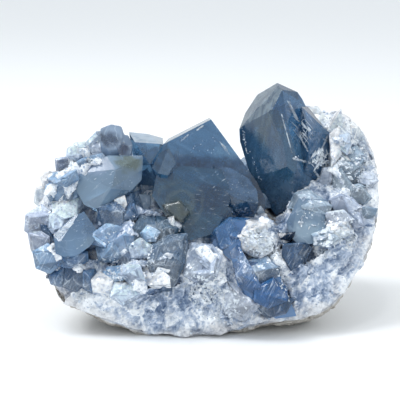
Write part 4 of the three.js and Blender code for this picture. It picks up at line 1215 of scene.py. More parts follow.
def on_face(place):
    """A place's turn about the broken face's middle, its distance from it, and its height before the face."""
    right, up, out = face_axes()
    spot = place - at(*FACE_MIDDLE)
    return math.atan2(spot.dot(up), spot.dot(right)), math.hypot(spot.dot(up), spot.dot(right)), spot.dot(out)


def rim_line():
    """The rim's places on the face, by their turn, once round and a little over."""
    line = sorted(on_face(at(*place)) for place in RIM)
    turn = 2 * math.pi
    return [(a - turn, r, h) for a, r, h in line[-1:]] + line + [(a + turn, r, h) for a, r, h in line[:1]]


def from_rim(place, line):
    """How far a place lies inside the rim's outline, and how far behind its edge, in mm."""
    turn, reach, height = on_face(place)
    k = bisect.bisect(line, (turn,))
    low, high = line[k - 1], line[k]
    share = (turn - low[0]) / (high[0] - low[0])
    rim_reach, rim_height = (low[i] + share * (high[i] - low[i]) for i in (1, 2))
    return (rim_reach - reach) / MM, (rim_height - height) / MM


def rind_share(place, looks, behind):
    """1 on the rind, which looks away from the bowl's centre behind the rim, and 0 on what is broken."""
    ragged = RIND_RAGGED * noise.noise(place * RIND_WAVES)
    outwards = looks.dot((place - at(*BOWL_CENTRE)).normalized())
    return smooth(behind + ragged, *RIND_STARTS) * smooth(outwards, *RIND_OUTWARDS)


def whiteness(place):
    """How white and sugary the wall is here, from clear blue, 0, to white, 1."""
    weight = BETWEEN_WEIGHT
    total = BETWEEN_ZONES * weight
    for middle, radius, white in WALL_ZONES:
        away = (place - at(*middle)).length / MM / radius
        share = 1 - smooth(away, 1 - ZONE_BLUR, 1 + ZONE_BLUR)
        total += share * white
        weight += share
    return total / weight


def cell_facet(place, size, seed):
    """How far a broken facet of about `size` mm stands out here: each cell is one tilted flat."""
    shifted = place / (size * MM) + Vector((seed, 3 * seed, 7 * seed))
    centre = noise.voronoi(shifted, distance_metric="DISTANCE")[1][0]
    lift = noise.cell_vector(centre * CELL_STRIDE) - Vector((0.5, 0.5, 0.5))
    return lift.x + FACET_TILT * (shifted - centre).dot(lift)


def facets_at(place, facets):
    """How far broken facets of several sizes together stand out here."""
    return sum(height * cell_facet(place, size, seed) for size, height, seed in facets)


def seat_of(middle):
    """Where the middle of a set crystal lies, sunk into the broken face."""
    return at(*middle) - Vector(FACE_LOOKS).normalized() * SEATED * MM


def crystal_boxes():
    """Each set crystal's middle, the turn into its own axes, and its sides in metres."""
    boxes = []
    for middle, along, sides, spin in SET_CRYSTALS:
        boxes.append((seat_of(middle), turn_to(along, spin).inverted(), [side * MM for side in sides]))
    return boxes


def foot_to(place, boxes):
    """The way from the foot of the set crystal that holds a place, along that crystal, to the place."""
    for middle, turn, (width, thick, length) in boxes:
        local = turn @ (place - middle)
        beside = abs(local.x) < SET_REACH * width and abs(local.y) < SET_REACH * thick
        if beside and -SET_FOOT * length < local.z < SET_REACH * length:
            return turn.inverted() @ Vector((0, 0, local.z + SET_FOOT * length))
    return Vector()


def mark_wall(mesh, line):
    """Notes on the wall where it is rind, how white it is, and where crystals and grains grow."""
    marks = {"rind": [], "rim": [], "white": [], "druse": [], "coarse": [], "sugar": []}
    for vert in mesh.vertices:
        inside, behind = from_rim(vert.co, line)
        broken = 1 - rind_share(vert.co, vert.normal, behind)
        white = whiteness(vert.co)
        hollow = smooth(-on_face(vert.co)[2] / MM, *HOLLOW_STARTS)
        low_right = smooth(vert.co.x / MM, *LOWER_RIGHT[0]) * (1 - smooth(vert.co.z / MM, *LOWER_RIGHT[1]))
        marks["rind"].append(1 - broken)
        marks["rim"].append(1 - smooth(inside, RIM_GREYEST, RIM_GREY + RIM_GREY_WIDER * low_right))
        marks["white"].append(white)
        marks["druse"].append(broken * smooth(inside, *DRUSE_INSIDE) * hollow)
        marks["coarse"].append(broken * smooth(inside, *COARSE_INSIDE) * smooth(white, *COARSE_WHITE))
        marks["sugar"].append(broken * smooth(inside, *SUGAR_INSIDE))
    for name, values in marks.items():
        set_value(mesh, name, values)


def mark_grains(mesh, grown):
    """Gives each place of a skin the tone of the grain that it lies on."""
    tones = []
    for piece in grown:
        tone = piece.data.attributes["tone"].data
        tones += [tone[face.vertices[0]].value for face in piece.data.polygons]
    grains = skins_of(grown)
    values = []
    for vert in mesh.vertices:
        _, _, face, _ = grains.find_nearest(vert.co, GRAIN_REACH * MM)
        values.append(0.5 if face is None else tones[face])
    set_value(mesh, "tone", values)


def mark_worn(mesh):
    """Notes how many mm each place stands out between its neighbours, as edges do, and from the ground; the
    rock's colour follows these, partly as painted shade and highlight.
    """
    count = len(mesh.vertices)
    places = np.empty(3 * count)
    looks = np.empty(3 * count)
    ends = np.empty(2 * len(mesh.edges), dtype=np.int64)
    mesh.vertices.foreach_get("co", places)
    mesh.vertex_normals.foreach_get("vector", looks)
    mesh.edges.foreach_get("vertices", ends)
    places, looks, ends = places.reshape(-1, 3), looks.reshape(-1, 3), ends.reshape(-1, 2)
    near = np.concatenate((ends[:, 0], ends[:, 1]))
    far = np.concatenate((ends[:, 1], ends[:, 0]))
    links = np.bincount(near, minlength=count)
    ground = places
    for step in range(GROUND_STEPS):
        ground = np.stack([np.bincount(near, ground[far, axis], count) / links for axis in range(3)], axis=1)
        if step == 0:
            set_value(mesh, "worn", ((places - ground) * looks).sum(axis=1) / MM)
    set_value(mesh, "proud", ((places - ground) * looks).sum(axis=1) / MM)


def moved_to(mesh, places):
    """Moves a skin's corners, and notes where it then stands out."""
    mesh.vertices.foreach_set("co", places)
    mesh.update()
    mark_worn(mesh)


def broken_wall(shapes):
    """The granular wall: its CAD solid with broken grains fused into one fine faceted skin."""
    wall = node_copy("granular_wall", "geode_wall")
    fine_skin(wall, SEED_SKIN)
    line = rim_line()
    boxes = crystal_boxes()
    mark_wall(wall.data, line)
    grown = [
        scattered("coarse_grains", wall, shapes, None, "coarse", **COARSE_GRAINS, seed=4),
        scattered("fine_grains", wall, shapes, None, "sugar", **FINE_GRAINS, seed=5),
    ]
    joined_mesh(wall, grown)
    fine_skin(wall, WALL_SKIN)
    mark_wall(wall.data, line)
    mark_grains(wall.data, grown)
    for piece in grown:
        bpy.data.objects.remove(piece)
    places = []
    for vert in wall.data.vertices:
        place, looks = vert.co, vert.normal
        rind = wall.data.attributes["rind"].data[vert.index].value
        lumps = sum(height * noise.noise(place * close) for close, height in RIND_LUMPS)
        lumps += facets_at(place, RIND_FACETS)
        step = facets_at(place, WALL_FACETS) * (1 - rind) + lumps * rind
        place = place + looks * step * MM - SET_SHORTER * foot_to(place, boxes)
        places.extend(above_floor(place))
    moved_to(wall.data, places)
    return wall


def crust_lining():
    """The crust of small crystals in the hollow."""
    lining = node_copy("crust_lining", "crystal_crust")
    fine_skin(lining, CRUST_SKIN)
    places = []
    for vert in lining.data.vertices:
        places.extend(vert.co + vert.normal * facets_at(vert.co, CRUST_FACETS) * MM)
    for name, value in CRUST_MARKS.items():
        set_value(lining.data, name, [value] * len(lining.data.vertices))
    moved_to(lining.data, places)
    return lining


# ---- Steps of the materials ----

NOISE_SWING = (0.3, 0.7)  # what a noise pattern mostly lies between,
STEEP_SWING = (0.35, 0.65)  # and a narrower part of that
FRACTURE_BEND = (0.004, 0.004, 0.004)  # how far, in metres, a fracture line strays from straight
CLOUD_RAGGED = (-0.4, 0.4)  # a cloud's edge strays by this share of its radii,
CLOUD_EDGE = (1.25, 0.6)  # and fades in between these
FACING_FADE = 1.2  # the painted sheen is gone at this many times its spread


def new_material(name):
    material = bpy.data.materials.new(name)
    material.use_nodes = True
    tree = material.node_tree
    tree.nodes.clear()
    output = tree.nodes.new("ShaderNodeOutputMaterial")
    shader = tree.nodes.new("ShaderNodeBsdfPrincipled")
    tree.links.new(shader.outputs["BSDF"], output.inputs["Surface"])
    return material, tree, shader, output


def own_coords(tree):
    return built(tree, "ShaderNodeTexCoord", "Object")


def attribute(tree, name, output="Fac"):
    return built(tree, "ShaderNodeAttribute", output, [("attribute_name", name)])


def noise_pattern(tree, coords, scale, detail=3.0, distortion=0.0):
    numbers = {"Scale": scale, "Detail": detail, "Distortion": distortion}
    return built(tree, "ShaderNodeTexNoise", "Fac", Vector=coords, **numbers)


def cells_of(tree, coords, scale, output, feature="F1"):
    """Uneven cells about 1/scale metres across."""
    return built(tree, "ShaderNodeTexVoronoi", output, [("feature", feature)], Vector=coords, Scale=scale)


def cell_tone(tree, coords, scale):
    """A chance value for each broken grain of about 1/scale metres."""
    return built(tree, "ShaderNodeSeparateColor", Color=cells_of(tree, coords, scale, "Color"))


def ramp(tree, value, stops):
    """Colours by value: each stop is its place and its colour."""
    node = tree.nodes.new("ShaderNodeValToRGB")
    elements = node.color_ramp.elements
    elements.remove(elements[1])
    elements[0].position, elements[0].color = stops[0][0], (*stops[0][1], 1)
    for place, colour in stops[1:]:
        elements.new(place).color = (*colour, 1)
    tree.links.new(value, node.inputs["Fac"])
    return node.outputs["Color"]


def mapped(tree, value, low, high, to_low, to_high):
    """A value laid evenly from one range to another, and held at its ends."""
    ends = {"From_Min": low, "From_Max": high, "To_Min": to_low, "To_Max": to_high}
    return built(tree, "ShaderNodeMapRange", "Result", Value=value, **ends)


def mixed(tree, share, first, second):
    """Two colours mixed; each a colour or a socket."""
    node = tree.nodes.new("ShaderNodeMix")
    node.data_type = "RGBA"
    sockets = [next(s for s in node.inputs if s.name == name and s.type == "RGBA") for name in ("A", "B")]
    colours = [(*colour, 1) if isinstance(colour, tuple) else colour for colour in (first, second)]
    feed(tree, [node.inputs["Factor"], *sockets], [share, *colours])
    return next(s for s in node.outputs if s.type == "RGBA")


def mixed_value(tree, share, first, second):
    """Two numbers mixed."""
    return built(tree, "ShaderNodeMix", "Result", Factor=share, A=first, B=second)


def vector_math(tree, operation, *values):
    """Vectors put together; each a plain one or a socket."""
    node = tree.nodes.new("ShaderNodeVectorMath")
    node.operation = operation
    feed(tree, node.inputs, values)
    return node.outputs


def bump(tree, shader, height, strength, depth):
    looks = built(tree, "ShaderNodeBump", "Normal", Height=height, Strength=strength, Distance=depth * MM)
    tree.links.new(looks, shader.inputs["Normal"])


def facet_tilts(tree, coords, scale):
    """Height in metres of broken facets about 1/scale across, each flat and tilted its own way."""
    middle = cells_of(tree, coords, scale, "Position")
    away = vector_math(tree, "SUBTRACT", coords, middle)[0]
    lean = vector_math(tree, "SUBTRACT", middle.node.outputs["Color"], (0.5, 0.5, 0.5))[0]
    return vector_math(tree, "DOT_PRODUCT", away, lean)["Value"]


def fracture_lines(tree, coords, ragged, scale, width):
    """1 on thin, ragged fracture lines between cells of about 1/scale metres, 0 off them."""
    bent = vector_math(tree, "MULTIPLY_ADD", ragged, FRACTURE_BEND, coords)[0]
    return mapped(tree, cells_of(tree, bent, scale, "Distance", "DISTANCE_TO_EDGE"), 0, width, 1, 0)


def absorb(tree, output, colour, density):
    inside = built(tree, "ShaderNodeVolumeAbsorption", "Volume", Color=(*colour, 1), Density=density)
    tree.links.new(inside, output.inputs["Volume"])


def local_coords(tree, coords, middle, turn, sizes):
    """Coordinates about a place of the tables, turned, with `sizes` mm as their units."""
    about = {"Location": at(*middle), "Rotation": turn, "Scale": [size * MM for size in sizes]}
    return built(tree, "ShaderNodeMapping", 0, [("vector_type", "TEXTURE")], Vector=coords, **about)


def cloud_share(tree, coords, ragged, middle, radii, strength):
    """How much of a cloud shows: `strength` in its middle, fading out raggedly at its radii."""
    away = vector_math(tree, "LENGTH", local_coords(tree, coords, middle, (0, 0, 0), radii))["Value"]
    reach = plus(tree, away, mapped(tree, ragged, *NOISE_SWING, *CLOUD_RAGGED))
    return mapped(tree, reach, *CLOUD_EDGE, 0, strength)


def facing_share(tree, direction, spread):
    """1 on the faces that look in a direction, within `spread` degrees."""
    looks = built(tree, "ShaderNodeTexCoord", "Normal")
    facing = vector_math(tree, "DOT_PRODUCT", looks, Vector(direction).normalized())["Value"]
    near, far = math.cos(math.radians(spread)), math.cos(math.radians(FACING_FADE * spread))
    return mapped(tree, facing, far, near, 0, 1)


def glass(tree, shader, colour, clear, rough, ior):
    """Sets what a mineral shows: its colour, how much light passes its skin, its roughness and refraction."""
    shader.inputs["IOR"].default_value = ior
    sockets = [shader.inputs[name] for name in ("Base Color", "Transmission Weight", "Roughness")]
    feed(tree, sockets, (colour, clear, rough))


# ---- The large crystals' materials ----

# Each large crystal's look. Body and haze: its colours where it is clear and where it is cloudy. Clear: how
# much light passes its skin. Absorbs, density: its inside. Clouds: middle, radii, colour, strength and
# clearness. Painted sheen, a painted reflection of the bright room, paler and less clear on the faces that
# look
# towards the light: the direction they look in, spread, colour and clearness. Arcs: middle, radii and
# colour. Smoke: turn, drawn-out size, colour and strength. Cracked: how much the fractures show. Streaks:
# middle, radii, turn in degrees, length and width of one streak.
LOOKS = {
    "broad_crystal": {
        "body": (0.03, 0.13, 0.26), "haze": (0.08, 0.2, 0.35), "clear": 0.75,
        "absorbs": (0.4, 0.62, 0.8), "density": 40,
        "clouds": [
            ((8, -0.4, 63), (5, 8, 4), (0.17, 0.32, 0.48), 0.7, 0.6),
            ((-9, -11, 52), (7, 7, 5), (0.05, 0.14, 0.23), 0.7, 0.6),
            ((-10, -13, 45), (6, 6, 4), (0.09, 0.15, 0.14), 0.8, 0.55),
            ((2, -12, 49), (6, 6, 6), (0.02, 0.08, 0.18), 0.8, 0.7),
            ((-3, -14, 40), (7, 6, 3), (0.05, 0.15, 0.26), 0.8, 0.65),
            ((0, -1.6, 60), (14, 6, 2.5), (0.02, 0.09, 0.2), 0.8, 0.7),
            ((17, -3, 50), (6, 7, 7), (0.03, 0.08, 0.16), 0.8, 0.7),
        ],
        "painted_sheen": [((-0.43, 0, 0.9), 16, (0.42, 0.5, 0.56), 0.3)],
        "arcs": [((-8, -10, 47), (9, 9, 8), (0.2, 0.28, 0.3))],
        "smoke": ((0, 0.5, 0), (9, 2.5, 1.6), (0.02, 0.07, 0.15), 0.6),
        "streaks": [
            ((-2, -12, 44), (14, 8, 8), (0, 12, 0), 7, 0.4),
            ((10, -8, 54), (9, 8, 8), (0, -40, 0), 7, 0.4),
        ],
    },
    "tall_crystal": {
        "body": (0.03, 0.11, 0.24), "haze": (0.08, 0.2, 0.35), "clear": 0.7,
        "absorbs": (0.42, 0.64, 0.82), "density": 20,
        "clouds": [
            ((22, -2, 73), (6, 7, 6), (0.09, 0.145, 0.18), 0.85, 0.5),
            ((27, -4, 50), (12, 12, 7), (0.1, 0.2, 0.33), 0.85, 0.5),
            ((41, 0, 62), (4, 5, 3), (0.5, 0.62, 0.76), 0.8, 0.3),
        ],
        "painted_sheen": [((-0.695, -0.307, 0.65), 22, (0.27, 0.35, 0.41), 0.5)],
        "smoke": ((0, 0.16, 0), (1.5, 2.5, 11), (0.025, 0.08, 0.17), 0.6),
        "streaks": [
            ((35, -2, 72), (7, 8, 11), (0, 55, 0), 6, 0.7),
            ((33, -2, 76), (5, 8, 9), (0, 100, 0), 7, 0.6),
        ],
    },
    "back_left_crystal": {
        "body": (0.11, 0.25, 0.42), "haze": (0.2, 0.36, 0.54), "clear": 0.75,
        "absorbs": (0.42, 0.6, 0.74), "density": 40,
        "painted_sheen": [((0, -0.1, 1), 35, (0.5, 0.58, 0.66), 0.3)],
    },
    "cap_crystal": {
        "body": (0.1, 0.17, 0.29), "haze": (0.32, 0.43, 0.58), "clear": 0.5,
        "absorbs": (0.6, 0.7, 0.8), "density": 25,
        "clouds": [
            ((-32.7, -4, 69), (3.4, 3, 3.2), (0.07, 0.11, 0.19), 0.8, 0.7),
            ((-28, -5, 65.5), (2, 3, 2), (0.06, 0.09, 0.18), 0.9, 0.7),
        ],
        "cracked": 0.35,
    },
    "left_crystal": {
        "body": (0.19, 0.33, 0.5), "haze": (0.31, 0.46, 0.63), "clear": 0.65,
        "absorbs": (0.6, 0.74, 0.84), "density": 25,
        "clouds": [
            ((-26.8, -10, 61.5), (5, 5, 2.5), (0.2, 0.27, 0.22), 0.8, 0.6),
            ((-38, -12, 61), (5, 5, 3), (0.34, 0.45, 0.64), 0.6, 0.5),
        ],
        "cracked": 0.12,
        "streaks": [((-34, -14, 57), (9, 6, 7), (0, -35, 0), 6, 0.5)],
    },
    "lower_left_crystal": {
        "body": (0.1, 0.22, 0.4), "haze": (0.24, 0.4, 0.6), "clear": 0.65,
        "absorbs": (0.45, 0.66, 0.82), "density": 30,
        "clouds": [((-40, -22, 36), (5, 5, 3), (0.3, 0.45, 0.6), 0.6, 0.6)],
        "cracked": 0.15,
        "streaks": [((-41, -24, 40), (7, 7, 6), (0, -35, 0), 4, 0.5)],
    },
    "low_crystal": {
        "body": (0.07, 0.2, 0.48), "haze": (0.16, 0.33, 0.62), "clear": 0.6,
        "absorbs": (0.42, 0.62, 0.82), "density": 35,
        "clouds": [
            ((20, -30, 22), (5, 5, 3), (0.26, 0.38, 0.56), 0.7, 0.5),
            ((13, -28, 29), (4, 5, 3), (0.1, 0.23, 0.48), 0.8, 0.85),
            ((18, -30, 15.5), (5, 5, 3), (0.1, 0.22, 0.42), 0.8, 0.7),
        ],
        "streaks": [((14, -26, 28), (9, 7, 12), (0, 30, 0), 5, 0.5)],
    },
    "right_crystal": {
        "body": (0.13, 0.25, 0.43), "haze": (0.33, 0.49, 0.66), "clear": 0.6,
        "absorbs": (0.55, 0.72, 0.86), "density": 25,
        "clouds": [
            ((34, -17, 39), (6, 5, 3), (0.4, 0.55, 0.68), 0.7, 0.4),
        ],
        "cracked": 0.3,
        "streaks": [((35, -14, 43), (9, 8, 8), (0, 20, 40), 4, 0.5)],
    },
}
# How fine the patterns are, more a metre.
SOFT_HAZE = 45
RAGGED_HAZE = 180
RIPPLES = 300
CRYSTAL_CRACKS = 170
EDGE_GRAIN = 400
VEIL_WISPS = 500
FILM_WISPS = 260
CRYSTAL_IOR = 1.62
FILM_IOR = 1.2  # a film's skins are nearly bonded to the crystal, so they bend light less
TINTED_CLEAR = 0.5  # how clear a tinted face is,
CRACK_CLEAR = 0.2  # a white fracture,
STREAK_CLEAR = 0.3  # and a white streak
CRYSTAL_ROUGH = (0.03, 0.12)
EDGE_ROUGH = 0.25
VEIL_ROUGH = 0.1
VEIL_WHITE = (0.78, 0.87, 0.95)
BETWEEN_SMOKE = (0.22, 0.37, 0.53)


def face_layer(tree, ragged):
    """The tint of a crystal's own faces, partly its colour and partly painted shade and reflection."""
    uneven = mapped(tree, ragged, *NOISE_SWING, 0.45, 0.95)
    share = times(tree, attribute(tree, "tint", "Alpha"), uneven)
    return share, attribute(tree, "tint", "Color"), TINTED_CLEAR


def frosted_layer(tree, ragged, direction, spread, tint, clearness):
    """A painted sheen: the bright room's reflection painted as a pale tint on the faces that look in a
    direction, which are also less clear.
    """
    uneven = mapped(tree, ragged, 0.2, 0.5, 0.5, 1)
    return times(tree, facing_share(tree, direction, spread), uneven), tint, clearness


def smoke_layers(tree, coords, turn, sizes, tint, strength):
    """Dark smoke drawn out one way, weaker under tinted faces, and the lighter mineral between."""
    drawn = local_coords(tree, coords, (0, 0, 0), turn, sizes)
    smoke = noise_pattern(tree, drawn, 1, detail=4, distortion=0.4)
    untinted = mapped(tree, attribute(tree, "tint", "Alpha"), 0, 1, 1, 0.5)
    dark = times(tree, mapped(tree, smoke, 0.42, 0.62, 0, strength), untinted)
    return [(dark, tint, None), (mapped(tree, smoke, 0.4, 0.3, 0, 0.3), BETWEEN_SMOKE, None)]


def cracked_layer(tree, coords, ragged, strength):
    """Patches of white fractures."""
    cracks = fracture_lines(tree, coords, ragged, CRYSTAL_CRACKS, 0.04)
    cracks = times(tree, cracks, mapped(tree, ragged, 0.42, 0.62, 0, strength))
    return cracks, VEIL_WHITE, CRACK_CLEAR


def arc_layer(tree, coords, ragged, middle, radii, tint):
    """Pale bent bands, as growth leaves them."""
    place = local_coords(tree, coords, middle, (0, 0, 0), (2.2, 2.2, 2.2))
    rings = built(
        tree, "ShaderNodeTexWave", "Fac", [("wave_type", "RINGS"), ("rings_direction", "SPHERICAL")],
        Vector=place, Scale=0.22, Distortion=9, Detail=3, Detail_Scale=0.9,
    )
    where = cloud_share(tree, coords, ragged, middle, radii, 1)
    return times(tree, mapped(tree, rings, 0.4, 0.9, 0, 0.4), where), tint, None


def streak_layer(tree, coords, ragged, middle, radii, turn, length, width):
    """White streaks of tiny fractures that run one way."""
    turn = [math.radians(angle) for angle in turn]
    lines = noise_pattern(tree, local_coords(tree, coords, middle, turn, (length, width, width)), 1, detail=4)
    where = cloud_share(tree, coords, ragged, middle, radii, 1)
    return times(tree, mapped(tree, lines, 0.64, 0.72, 0, 0.8), where), VEIL_WHITE, STREAK_CLEAR


def crystal_layers(tree, coords, ragged, look):
    """What lies over a crystal's body: each layer's share, its colour and its clearness, if it has one."""
    layers = [face_layer(tree, ragged)]
    for middle, radii, tint, strength, clearness in look.get("clouds", []):
        layers.append((cloud_share(tree, coords, ragged, middle, radii, strength), tint, clearness))
    layers += [frosted_layer(tree, ragged, *painted_sheen) for painted_sheen in look.get("painted_sheen", [])]
    if "smoke" in look:
        layers += smoke_layers(tree, coords, *look["smoke"])
    if "cracked" in look:
        layers.append(cracked_layer(tree, coords, ragged, look["cracked"]))
    layers += [arc_layer(tree, coords, ragged, *arc) for arc in look.get("arcs", [])]
    layers += [streak_layer(tree, coords, ragged, *streak) for streak in look.get("streaks", [])]
    return layers


def large_crystal_material(node):
    """Clear celestite with soft haze, its own clouds, faces tinted partly with painted shade and reflection,
    a painted sheen on the faces that look towards the light, and streaks of tiny fractures.
    """
    look = LOOKS[node]
    material, tree, shader, output = new_material(node)
    coords = own_coords(tree)
    soft = noise_pattern(tree, coords, SOFT_HAZE, detail=2, distortion=0.6)
    ragged = noise_pattern(tree, coords, RAGGED_HAZE, detail=5, distortion=1)
    colour = ramp(tree, soft, [(0.36, look["body"]), (0.68, look["haze"])])
    clear = mapped(tree, soft, 0.35, 0.7, look["clear"], look["clear"] - 0.15)
    for share, tint, clearness in crystal_layers(tree, coords, ragged, look):
        colour = mixed(tree, share, colour, tint)
        if clearness is not None:
            clear = mixed_value(tree, share, clear, clearness)
    glass(tree, shader, colour, clear, mapped(tree, soft, *NOISE_SWING, *CRYSTAL_ROUGH), CRYSTAL_IOR)
    bump(tree, shader, noise_pattern(tree, coords, RIPPLES, detail=2), 0.05, 0.4)
    absorb(tree, output, look["absorbs"], look["density"])
    return material


def worn_edge_material():
    """The crushed, rough and milky mineral along worn edges, pale partly from that wear and partly as a
    painted highlight along the edges.
    """
    material, tree, shader, _ = new_material("edge_wear_and_highlight")
    grain = noise_pattern(tree, own_coords(tree), EDGE_GRAIN, detail=4)
    # Pale along the edges: partly edge wear, partly a painted highlight.
    colour = ramp(tree, grain, [(0.35, (0.32, 0.44, 0.58)), (0.65, (0.8, 0.87, 0.95))])
    glass(tree, shader, colour, mapped(tree, grain, *STEEP_SWING, 0.6, 0.05), EDGE_ROUGH, CRYSTAL_IOR)
    return material


def veil_material():
    """A thin cloudy film, wispy white."""
    material, tree, shader, _ = new_material("inner_veil")
    wisp = noise_pattern(tree, own_coords(tree), VEIL_WISPS, detail=6, distortion=3)
    colour = ramp(tree, wisp, [(0.4, (0.6, 0.75, 0.9)), (0.6, VEIL_WHITE)])
    glass(tree, shader, colour, mapped(tree, wisp, 0.42, 0.6, 1, 0.45), VEIL_ROUGH, FILM_IOR)
    return material


def film_material():
    """A frosted crack that reaches the skin."""
    material, tree, shader, _ = new_material("white_film")
    wisp = noise_pattern(tree, own_coords(tree), FILM_WISPS, detail=4, distortion=1)
    glass(tree, shader, (*VEIL_WHITE, 1), mapped(tree, wisp, *STEEP_SWING, 0.9, 0.4), EDGE_ROUGH, FILM_IOR)
    return material


# ---- The wall's materials ----

SET_GLASS = {
    "deep": (0.14, 0.25, 0.42), "middle": (0.4, 0.55, 0.74), "pale": (0.88, 0.94, 0.98),
    "clear": 0.7, "milky": 0.1,
}
SUGAR_GLASS = {
    "deep": (0.3, 0.42, 0.6), "middle": (0.5, 0.62, 0.8), "pale": (0.85, 0.92, 0.98),
    "clear": 0.5, "milky": 0.1,
}
BLOCK_SHADE = (0.06, 0.14, 0.27)  # the clear blue in a cloudy block's depth,
BLOCK_PIT_SHADE = (0.42, 0.5, 0.68)  # the painted shade in a sugary one's pits,
BLOCK_CRACKS_AND_PAINTED_GLINTS = (0.85, 0.92, 1)  # and the white of its fractures, and of its glints, which are painted highlights
WALL_COLOURS = [(0, (0.12, 0.19, 0.32)), (0.42, (0.43, 0.52, 0.67)), (0.86, (0.9, 0.94, 0.98))]
RIM_GREYS = [(0, (0.13, 0.14, 0.17)), (1, (0.66, 0.66, 0.68))]
RIND_COLOURS = [(0.1, (0.14, 0.13, 0.12)), (0.4, (0.33, 0.31, 0.28)), (0.8, (0.52, 0.5, 0.46))]
SMALL_ROUGH = (0.03, 0.2)
WALL_ROUGH = (0.05, 0.3)
RIND_ROUGH = 0.85
# How fine the patterns are, more a metre: haze, grain, fractures, and the facets of the skin.
SMALL_HAZE, SMALL_GRAIN, SMALL_CRACKS, SMALL_TILTS = 160, 900, 260, 500
BLOCK_HAZE, BLOCK_GRAIN, BLOCK_CRACKS, BLOCK_TILTS = 150, 900, 160, (260, 900)
WALL_HAZE, WALL_GRAIN, WALL_CRACKS, WALL_TILTS = 110, 800, 300, (220, 900)
RIND_PATCHES, RIND_SPECKS = 40, 500


def small_crystal_material(name, deep, middle, pale, clear, milky):
    """Small crystals and grains, from clear blue to white by their own tone and by where they grow."""
    material, tree, shader, _ = new_material(name)
    coords = own_coords(tree)
    haze = noise_pattern(tree, coords, SMALL_HAZE, detail=5, distortion=0.8)
    grain = noise_pattern(tree, coords, SMALL_GRAIN, detail=4)
    tone = mapped(tree, attribute(tree, "tone"), 0, 1, -0.05, 0.35)
    white = mapped(tree, attribute(tree, "white"), 0, 1, 0.05, 0.7)
    cracks = fracture_lines(tree, coords, haze, SMALL_CRACKS, 0.05)
    cracks = times(tree, cracks, mapped(tree, grain, 0.42, 0.58, 0, 0.35))
    level = plus(tree, tone, white)
    level = plus(tree, level, mapped(tree, haze, *NOISE_SWING, -0.22, 0.22))
    level = plus(tree, level, cracks)
    colour = ramp(tree, level, [(0, deep), (0.45, middle), (0.95, pale)])
    rough = mapped(tree, grain, *STEEP_SWING, *SMALL_ROUGH)
    glass(tree, shader, colour, mapped(tree, level, 0, 1, clear, milky), rough, CRYSTAL_IOR)
    bump(tree, shader, facet_tilts(tree, coords, SMALL_TILTS), 1, 250)
    return material


def block_glints(tree, coords, haze, grain, white):
    """Where a block shows white: in fractures and drawn-out lines, and on its sugary glints, which are
    painted highlights.
    """
    cracks = fracture_lines(tree, coords, haze, BLOCK_CRACKS, 0.03)
    cracks = times(tree, cracks, mapped(tree, haze, 0.45, 0.6, 0, 0.5))
    lines = noise_pattern(tree, local_coords(tree, coords, (0, 0, 0), (0, 0.5, 0), (0.5, 5, 5)), 1, detail=4)
    lines = mapped(tree, lines, 0.57, 0.8, 0, 0.6)
    # Glints on the sugary white blocks are painted highlights.
    painted_glints = mapped(tree, grain, 0.56, 0.66, 0, 1)
    painted_glints = times(tree, painted_glints, mapped(tree, haze, 0.42, 0.6, 0, 0.9))
    painted_glints = times(tree, painted_glints, mapped(tree, white, 0, 0.5, 0.15, 1))
    return combined(tree, "MAXIMUM", combined(tree, "MAXIMUM", cracks, lines), painted_glints)


def grown_block_material():
    """Cloudy crystal tinted block by block, clear where it is dark and sugary where it is white, with painted
    shade in its pits and painted glints.
    """
    material, tree, shader, _ = new_material("grown_block")
    coords = own_coords(tree)
    haze = noise_pattern(tree, coords, BLOCK_HAZE, detail=5, distortion=0.8)
    grain = noise_pattern(tree, coords, BLOCK_GRAIN, detail=4)
    white = mapped(tree, attribute(tree, "tint"), 0.25, 0.8, 0, 1)
    # Painted shade in the pits of white blocks, where the fine grain is low.
    pit_shade = times(tree, mapped(tree, grain, 0.47, 0.36, 0, 0.7), white)
    whites_and_painted_glints = block_glints(tree, coords, haze, grain, white)
    colour = attribute(tree, "tint", "Color")
    for share, tint in (
        (mapped(tree, haze, 0.5, 0.75, 0, 0.6), VEIL_WHITE),
        (mapped(tree, haze, 0.47, 0.3, 0, 0.5), BLOCK_SHADE),
        (pit_shade, BLOCK_PIT_SHADE), (whites_and_painted_glints, BLOCK_CRACKS_AND_PAINTED_GLINTS),
    ):
        colour = mixed(tree, share, colour, tint)
    clear = mapped(tree, white, 0, 1, 0.7, 0.15)
    clear = times(tree, clear, mapped(tree, whites_and_painted_glints, 0, 0.7, 1, 0.3))
    glass(tree, shader, colour, clear, mapped(tree, grain, *STEEP_SWING, *SMALL_ROUGH), CRYSTAL_IOR)
    tilts = plus(tree, *[facet_tilts(tree, coords, scale) for scale in BLOCK_TILTS])
    bump(tree, shader, times(tree, tilts, mapped(tree, white, 0, 0.6, 0.15, 1)), 1, 700)
    return material


def rind_colour(tree, coords):
    """The dull, dirty rind; paler where it stands out, partly wear and partly painted highlight, and darker
    in its creases as painted shade.
    """
    patches = mapped(tree, noise_pattern(tree, coords, RIND_PATCHES, detail=3), *NOISE_SWING, 0, 0.35)
    specks = mapped(tree, noise_pattern(tree, coords, RIND_SPECKS, detail=6), *NOISE_SWING, 0, 0.45)
    dirt_and_shade = plus(tree, patches, specks)
    # Paler where the rind stands out, partly wear and partly painted highlight, and darker in its creases as
    # painted shade.
    dirt_and_shade = plus(tree, dirt_and_shade, mapped(tree, attribute(tree, "worn"), -0.1, 0.1, -0.15, 0.25))
    return ramp(tree, dirt_and_shade, RIND_COLOURS)


